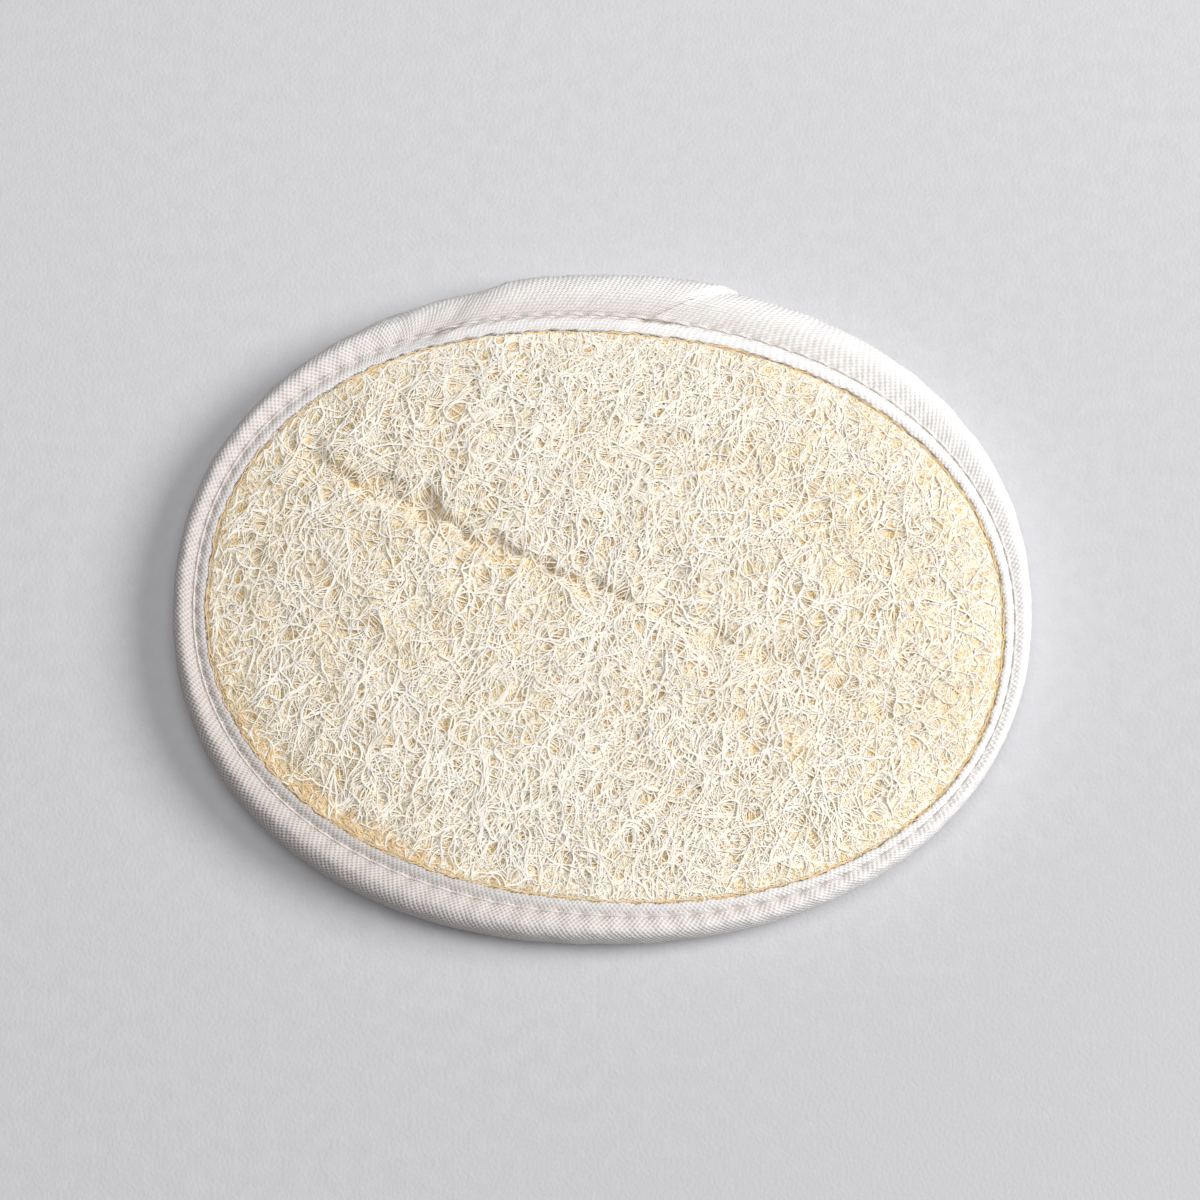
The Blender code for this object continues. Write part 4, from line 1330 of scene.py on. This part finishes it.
# lit and shaded copies of the canvas's yarn, gaps and lip: painted light on the right and painted
# shade on the left
YARN_SHADED, YARN_LIT = (0.61, 0.57, 0.555), (0.985, 0.98, 0.975)
GAP_SHADED, GAP_LIT = (0.27, 0.24, 0.225), (0.86, 0.835, 0.82)
LIP_SHADED, LIP_LIT = (0.56, 0.54, 0.53), (0.95, 0.95, 0.965)
GROOVE_SHADE, HOLE_SHADE = (0.82, 0.74, 0.70), (0.46, 0.38, 0.34)

canvas = Finish("natural_canvas", YARN_LIT, 0.85, specular=0.15)
where = canvas.node("UVMap", uv_map="weave").outputs["UV"]
lengths = canvas.node("SeparateXYZ", {"Vector": where})
wobble = canvas.noise(WOBBLES_PER_MM * MM, 2.0, place=where)
wobble = canvas.math("MULTIPLY", wobble, 0.25)
along = canvas.math("ADD", lengths.outputs["X"], wobble)
across = canvas.math("ADD", lengths.outputs["Y"], wobble)
warp = canvas.math("SINE", canvas.math("MULTIPLY", along, math.pi / YARN_ALONG))
weft = canvas.math("SINE", canvas.math("MULTIPLY", across, math.pi / YARN_ACROSS))
weave = canvas.math("MULTIPLY_ADD", canvas.math("MULTIPLY", warp, weft), 0.5)
weave.node.inputs[2].default_value = 0.5
painted_light, lip = canvas.attribute("painted_light"), canvas.attribute("lip")
yarn = canvas.mix(painted_light, YARN_SHADED, YARN_LIT)
gap = canvas.mix(painted_light, GAP_SHADED, GAP_LIT)
body = canvas.mix(canvas.spread(weave, 0.12, 0.52), gap, yarn)
# the groove of the stitches and each hole are painted darker: painted shade
in_groove = canvas.math("MULTIPLY", canvas.attribute("groove"), 0.4)
body = canvas.mix(in_groove, body, GROOVE_SHADE)
# the lip is painted lighter, and mixed by side as painted light and painted shade
lip_tone = canvas.mix(painted_light, LIP_SHADED, LIP_LIT)
body = canvas.mix(canvas.math("MULTIPLY", lip, 0.35), body, lip_tone)
pierced = canvas.math("MULTIPLY", canvas.attribute("hole"), 0.75)
canvas.colour(canvas.mix(pierced, body, HOLE_SHADE))
relief = canvas.math("MULTIPLY", weave, canvas.spread(lip, 0.0, 1.0, 0.8, 0.6))
fuzz = canvas.math("MULTIPLY", canvas.noise(3.0, 3.0), 0.25)
canvas.bump(canvas.math("ADD", relief, fuzz), WEAVE_DEPTH)
dress(tape, canvas, "canvas", "binding_tape")

# %% [markdown]
# ## The seam
# One row of lockstitch holds the tape: a needle thread shows on the face, a bobbin thread
# on the back, and the two lock inside the layers at every hole. Each thread is one closed
# curve with a round section that stands up in the middle of a stitch and dives at a hole.

# %% Stitches
POINTS_PER_STITCH = 8
THREAD_RISE, THREAD_DIVE = 0.08 * MM, 0.42 * MM


def seam_lift(angle, groove):
    """How far the stitches stand out where they cross the tape's overlap."""
    past = (JOIN_START - angle - join_slant(angle)[:, groove] + math.pi) % TAU - math.pi
    walked = past * np.linalg.norm(outline_point(angle), axis=-1)
    up = smooth_step((walked + 2 * JOIN_RAMP) / JOIN_RAMP)
    down = smooth_step((walked - JOIN_OVERLAP - JOIN_RAMP / 3) / JOIN_RAMP)
    return JOIN_LAYER * up * (1 - down)


def stitch_row(name, seam_z, outwards, groove):
    """One thread of the lockstitch row: it stands up in each stitch and sinks at each hole."""
    count = STITCHES * POINTS_PER_STITCH
    walked = seam_length[-1] * np.arange(count) / count
    angle = np.interp(walked, seam_length, fine_angle)
    hole = 0.5 + 0.5 * np.cos(stitch_phase(angle))
    rise = THREAD_RISE - THREAD_DIVE * hole**2
    flat = rim_point(angle, seam_inward(angle))
    height = seam_z + outwards * (rise + seam_lift(angle, groove))
    path = np.column_stack((flat, height))
    radius = np.full(count, THREAD_DIAMETER / 2)
    return tubes(name, [path], [radius], closed=True, roundness=1)


# %% Finish of the thread
THREAD_LIGHT, THREAD_DARK = (0.84, 0.81, 0.78), (0.70, 0.66, 0.62)
PLY_TURNS = 1.5 / MM

thread_finish = Finish("cotton_thread", (0.80, 0.77, 0.74), 0.7, specular=0.2)
where = thread_finish.node("TexCoord").outputs["Object"]
ply = thread_finish.node("TexWave", {"Vector": where, "Scale": PLY_TURNS, "Distortion": 1.0})
ply.bands_direction = "DIAGONAL"
thread_finish.bump(ply.outputs["Fac"], 0.06)
thread_finish.colour(thread_finish.mix(ply.outputs["Fac"], THREAD_DARK, THREAD_LIGHT))
needle_thread = stitch_row("face_stitches", FACE_SEAM_Z, 1, FACE_GROOVE)
bobbin_thread = stitch_row("back_stitches", BACK_SEAM_Z, -1, BACK_GROOVE)
dress(needle_thread, thread_finish, "thread", "stitches_face")
dress(bobbin_thread, thread_finish, "thread", "stitches_back")

# %% [markdown]
# ## Foam core
# A slab of soft foam inside the pad gives the face its crown. Nothing of it shows, but it
# fills the space between the web and the terry cloth, and it thins to a soft edge before
# it reaches the seam. It is spun from a profile of shares of the window and heights.

# %% Foam core
FOAM_PROFILE = [(0, 0), (0.4, 0), (0.76, 0), (0.79, 0.3), (0.80, 0.9), (0.80, 3.5),
                (0.76, 4.3), (0.70, 5.0), (0.58, 5.7), (0.46, 6.0), (0.2, 6.0), (0, 6.0)]
FOAM_WALL, FOAM_PORE = (0.82, 0.76, 0.57), (0.70, 0.62, 0.42)
PORES_ACROSS = 1.4 / MM


def foam_rings(angles):
    return [(window_point(angles, s), FOAM_UNDER + z * MM) for s, z in FOAM_PROFILE]


foam_finish = Finish("soft_foam", (0.80, 0.74, 0.55), 0.9, specular=0.1)
where = foam_finish.node("TexCoord").outputs["Object"]
pores = foam_finish.node("TexVoronoi", {"Vector": where, "Scale": PORES_ACROSS})
hollow = foam_finish.spread(pores.outputs["Distance"], 0.0, 0.6)
foam_finish.colour(foam_finish.mix(hollow, FOAM_WALL, FOAM_PORE))
foam_finish.bump(pores.outputs["Distance"], 0.2)
foam = spun("foam_padding", 96, foam_rings)
dress(foam, foam_finish, "foam", "foam_core")

# %% [markdown]
# ## Where the hand strap runs
# Pads of this kind have an elastic strap across the back for the fingers, held by the
# binding at both sides. The photo shows only the other side, so the strap follows the
# usual make: 25 mm wide, flat along the terry, and rising at each end into the rim. Its
# line comes before the terry cloth, because the cloth has to make room for it.

# %% Where the hand strap runs
EDGE_INSET, PAST_STRAP = 2.0 * MM, 1.0 * MM
STRAP_WIDTH, STRAP_MIDDLE, STRAP_RISE_RUN = 25.0 * MM, 36.0 * MM, 6.0 * MM


def past_back_lip(angle):
    """How far inside the outer edge the back clears the tape's edge."""
    return seam_inward(angle) + BACK_LIP + 2 * CLEARANCE


def strap_reach(side, inward):
    """Least distance from the middle line, across the strap's width, of a line in the rim."""
    spots = rim_point(fine_angle, inward)
    near = (np.abs(spots[:, 0]) <= STRAP_WIDTH / 2 + CLEARANCE) & (spots[:, 1] * side > 0)
    return np.abs(spots[near, 1]).min()


def strap_line(side):
    """(distance from the middle, height) of the strap's underside on one side."""
    lip = strap_reach(side, past_back_lip(fine_angle))
    end = strap_reach(side, EDGE_INSET + CLEARANCE + 0 * fine_angle)
    flat_end = lip - STRAP_RISE_RUN
    return np.array([(0, STRAP_UNDER), (flat_end, STRAP_UNDER),
                     (lip, CLAMP_UNDER), (end, CLAMP_UNDER)])


STRAP_LINES = {side: strap_line(side) for side in (1, -1)}
strap_ends = [round(float(line[-1, 0]) / MM, 1) for line in STRAP_LINES.values()]
print("strap ends", strap_ends, "mm from the middle")


def over_strap(flat, height):
    """The height, raised to clear the strap where it passes, with soft shoulders."""
    side = np.where(flat[:, 1] >= 0, 1, -1)
    clear = np.zeros(len(flat))
    for way, line in STRAP_LINES.items():
        here = np.interp(np.abs(flat[:, 1]), line[:, 0], line[:, 1]) + STRAP_THICKNESS + CLEARANCE
        clear = np.where(side == way, here, clear)
    beside = smooth_step((np.abs(flat[:, 0]) - STRAP_WIDTH / 2 - CLEARANCE) / (1.4 * MM))
    return height + np.maximum(clear - height, 0) * (1 - beside)


# %% [markdown]
# ## Terry back
# The soft side is terry cloth. Its ground is one closed spun piece: flat where the pad
# rests, rounded up towards the rim, pinched in the seam, and raised over the strap. It
# stands above the floor by the height of its pile.

# %% Terry back
BACK_FLAT_RUN, BACK_ROUND_RUN, BACK_ROUND_RISE = 9.0 * MM, 3.6 * MM, 0.8 * MM
PILE = 0.8 * MM


def terry_ground(angles, flat, height):
    """The cloth's ground stands above the tips of its loops, and over the strap."""
    above_floor = 1 - smooth_step((height - 0.6 * MM) / (2.4 * MM))
    return flat, over_strap(flat, height + PILE * above_floor)


def terry_rings(angles):
    lip = past_back_lip(angles)
    flat_edge = rim_point(angles, lip + BACK_FLAT_RUN)
    rings = [terry_ground(angles, flat_edge * s, 0.0) for s in np.linspace(0, 1, 40)]
    for t in np.linspace(0.2, 1, 5):
        run = BACK_FLAT_RUN + (BACK_ROUND_RUN - BACK_FLAT_RUN) * t
        rings.append(terry_ground(angles, rim_point(angles, lip + run), BACK_ROUND_RISE * t**1.6))
    for t in np.linspace(0.2, 1, 5):
        rise = BACK_ROUND_RISE + (CLAMP_UNDER - BACK_ROUND_RISE) * t
        rings.append(terry_ground(angles, rim_point(angles, lip + BACK_ROUND_RUN * (1 - t)), rise))
    edge = rim_point(angles, EDGE_INSET + 0 * lip)
    rings += [(edge, over_strap(edge, CLAMP_UNDER)), (edge, TERRY_EDGE_TOP)]
    rings.append((rim_point(angles, lip + PAST_STRAP), TERRY_EDGE_TOP))
    inside = rim_point(angles, lip + STRAP_RISE_RUN + 2 * PAST_STRAP)
    return rings + [(inside * s, TERRY_INSIDE) for s in (1.0, 0.66, 0.33, 0.0)]


TERRY_DARK, TERRY_LIGHT = (0.78, 0.74, 0.66), (0.87, 0.84, 0.78)

terry_finish = Finish("cream_terry", (0.85, 0.82, 0.75), 0.95, specular=0.1, sheen=0.2)
tuft = terry_finish.noise(1.1, 3.0)
clump = terry_finish.spread(tuft, 0.35, 0.65)
terry_finish.colour(terry_finish.mix(clump, TERRY_DARK, TERRY_LIGHT))
terry_finish.bump(tuft, 0.3)
terry = spun("terry_back_cloth", 200, terry_rings)
dress(terry, terry_finish, "terry", "terry_back")

# %% [markdown]
# ## The pile
# What makes terry is its loops. A loop is one short curve of five points that hangs from
# the ground and is turned its own way. Rows of them cover the back, and they are pressed
# short where the strap lies over them.

# %% Loops of the terry's pile
LOOP_PITCH, LOOP_HALF_WIDE, LOOP_THICKNESS = 1.37 * MM, 0.42 * MM, 0.30 * MM
LOOP_BOW = np.array([-0.7, -1.0, 0.0, 1.0, 0.7])
LOOP_DROP = np.array([0.0, 0.55, 1.0, 0.55, 0.0])
PRESSED_PILE = 0.2 * MM
draw = np.random.default_rng(51)


def pile_loops():
    """Small upright loops all over the back, in rows, each turned its own way."""
    half = int(PAD_LENGTH / 2 / LOOP_PITCH)
    column, row = np.meshgrid(np.arange(-half, half + 1), np.arange(-half, half + 1))
    spots = np.stack((column + 0.5 * (row % 2), row * 0.9), -1).reshape(-1, 2) * LOOP_PITCH
    spots += draw.normal(0, 0.12, spots.shape) * MM
    around = np.arctan2(spots[:, 1], spots[:, 0])
    edge = np.linalg.norm(rim_point(around, past_back_lip(around) + 1.4 * MM), axis=1)
    spots = spots[np.linalg.norm(spots, axis=1) < edge]
    lean = draw.uniform(0, TAU, len(spots))
    run = np.stack((np.cos(lean), np.sin(lean)), -1)[:, None]
    swing = draw.normal(0, 0.15, (len(spots), 2))[:, None] * MM
    bow = run * LOOP_BOW[None, :, None] * LOOP_HALF_WIDE
    return spots[:, None] + bow + swing * LOOP_DROP[None, :, None]


# %% Height of the back
def back_height(spots):
    """Height of the terry's ground over flat points."""
    around = np.arctan2(spots[:, 1], spots[:, 0])
    lip = past_back_lip(around)
    out = np.linalg.norm(spots, axis=1)
    flat_to, round_to, edge = (np.linalg.norm(rim_point(around, lip + run), axis=1)
                               for run in (BACK_FLAT_RUN, BACK_ROUND_RUN, 0.0))
    first = np.clip((out - flat_to) / (round_to - flat_to), 0, 1)
    second = np.clip((out - round_to) / (edge - round_to), 0, 1)
    height = BACK_ROUND_RISE * first**1.6 + (CLAMP_UNDER - BACK_ROUND_RISE) * second
    return terry_ground(around, spots, height)[1]


# %% The pile
flat = pile_loops()
ground = back_height(flat[:, 2])
depth = np.minimum(PILE + 0.05 * MM, ground - 0.08 * MM)
crossing = np.abs(flat[:, 2, 0]) < STRAP_WIDTH / 2 + 0.8 * MM
depth = np.where(crossing, PRESSED_PILE, depth)
height = ground[:, None] + 0.12 * MM - (depth[:, None] + 0.02 * MM) * LOOP_DROP[None, :]
loop_paths = np.concatenate((flat, height[..., None]), -1)
loop_radius = np.full(len(LOOP_DROP), LOOP_THICKNESS / 2)
pile = tubes("terry_pile_loops", list(loop_paths), [loop_radius] * len(loop_paths))
close_ends(pile.data)
dress(pile, terry_finish, "terry")
print(len(loop_paths), "loops,", len(pile.data.polygons), "faces")

# %% [markdown]
# ## Hand strap
# The strap is woven elastic with ribs along its length. It is made in two halves that meet in the
# middle, each running from the end that the pad holds to the strap's middle, which the fingers draw
# away in use. A half is a flat strip carried to the strap's line and given its thickness. Its
# corners stay sharp, so that no line shows where the halves meet.

# %% Finish of the elastic
RIB, PICK = 1.25 * MM, 0.55 * MM
ELASTIC_DARK, ELASTIC_LIGHT = (0.72, 0.69, 0.64), (0.87, 0.85, 0.81)

strap_finish = Finish("woven_elastic", (0.84, 0.82, 0.78), 0.75, specular=0.2)
where = strap_finish.node("UVMap", uv_map="weave").outputs["UV"]
lengths = strap_finish.node("SeparateXYZ", {"Vector": where})
ribs = strap_finish.math("MULTIPLY", lengths.outputs["X"], TAU / (RIB / MM))
picks = strap_finish.math("MULTIPLY", lengths.outputs["Y"], TAU / (PICK / MM))
ribs = strap_finish.math("ABSOLUTE", strap_finish.math("SINE", ribs))
ribs = strap_finish.math("MULTIPLY", ribs, 0.6)
picks = strap_finish.math("MULTIPLY", strap_finish.math("SINE", picks), 0.25)
knit = strap_finish.math("ADD", ribs, picks)
raised = strap_finish.spread(knit, -0.2, 0.7)
strap_finish.colour(strap_finish.mix(raised, ELASTIC_DARK, ELASTIC_LIGHT))
strap_finish.bump(knit, 0.18)

# %% Hand strap
STRAP_COLUMNS, STRAP_ROWS, STRAP_EASE = 80, 110, 1.6 * MM
SHARP_CORNER = math.radians(50.0)


def settled(piece):
    """Makes the piece's modifiers part of its mesh."""
    bpy.context.view_layer.update()
    evaluated = piece.evaluated_get(bpy.context.evaluated_depsgraph_get())
    mesh = bpy.data.meshes.new_from_object(evaluated)
    piece.modifiers.clear()
    piece.data = mesh


def strap_half(name, side, nodes):
    """Half of the strap, from its middle to the end that the binding holds."""
    line = STRAP_LINES[side]
    piece, column, row = strip(name, STRAP_COLUMNS, STRAP_ROWS)
    across = (column / STRAP_COLUMNS - 0.5) * STRAP_WIDTH
    y = row / STRAP_ROWS * (line[-1, 0] - CLEARANCE)
    eased_by = (-STRAP_EASE, 0, STRAP_EASE)
    height = sum(np.interp(y + shift, line[:, 0], line[:, 1]) for shift in eased_by) / 3
    height = np.maximum(height, np.interp(y, line[:, 0], line[:, 1]) - 0.1 * MM)
    ribs = 0.05 * MM * np.abs(np.sin(np.pi * across / RIB))
    set_places(piece.data, np.column_stack((across, side * y, height + STRAP_THICKNESS / 2 - ribs)))
    set_weave(piece.data, across, y)
    piece.data.shade_smooth()
    wall = piece.modifiers.new("strap_thickness", "SOLIDIFY")
    wall.thickness, wall.offset = STRAP_THICKNESS - 0.1 * MM, 0
    settled(piece)
    piece.data.set_sharp_from_angle(angle=SHARP_CORNER)
    piece.data.materials.append(strap_finish.material)
    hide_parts(*nodes)
    run = float(np.linalg.norm(np.diff(line, axis=0), axis=1).sum()) - CLEARANCE
    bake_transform(piece)
    print(name, round(run / MM, 1), "mm long,", len(piece.data.polygons), "faces")


strap_half("hand_strap_far_half", 1, ["strap_middle", "strap_end_far"])
strap_half("hand_strap_near_half", -1, ["strap_end_near"])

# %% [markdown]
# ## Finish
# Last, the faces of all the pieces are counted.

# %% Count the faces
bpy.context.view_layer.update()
meshes = [thing.data for thing in bpy.data.objects if thing.type == "MESH"]
print("all pieces:", sum(len(mesh.polygons) for mesh in meshes), "faces")
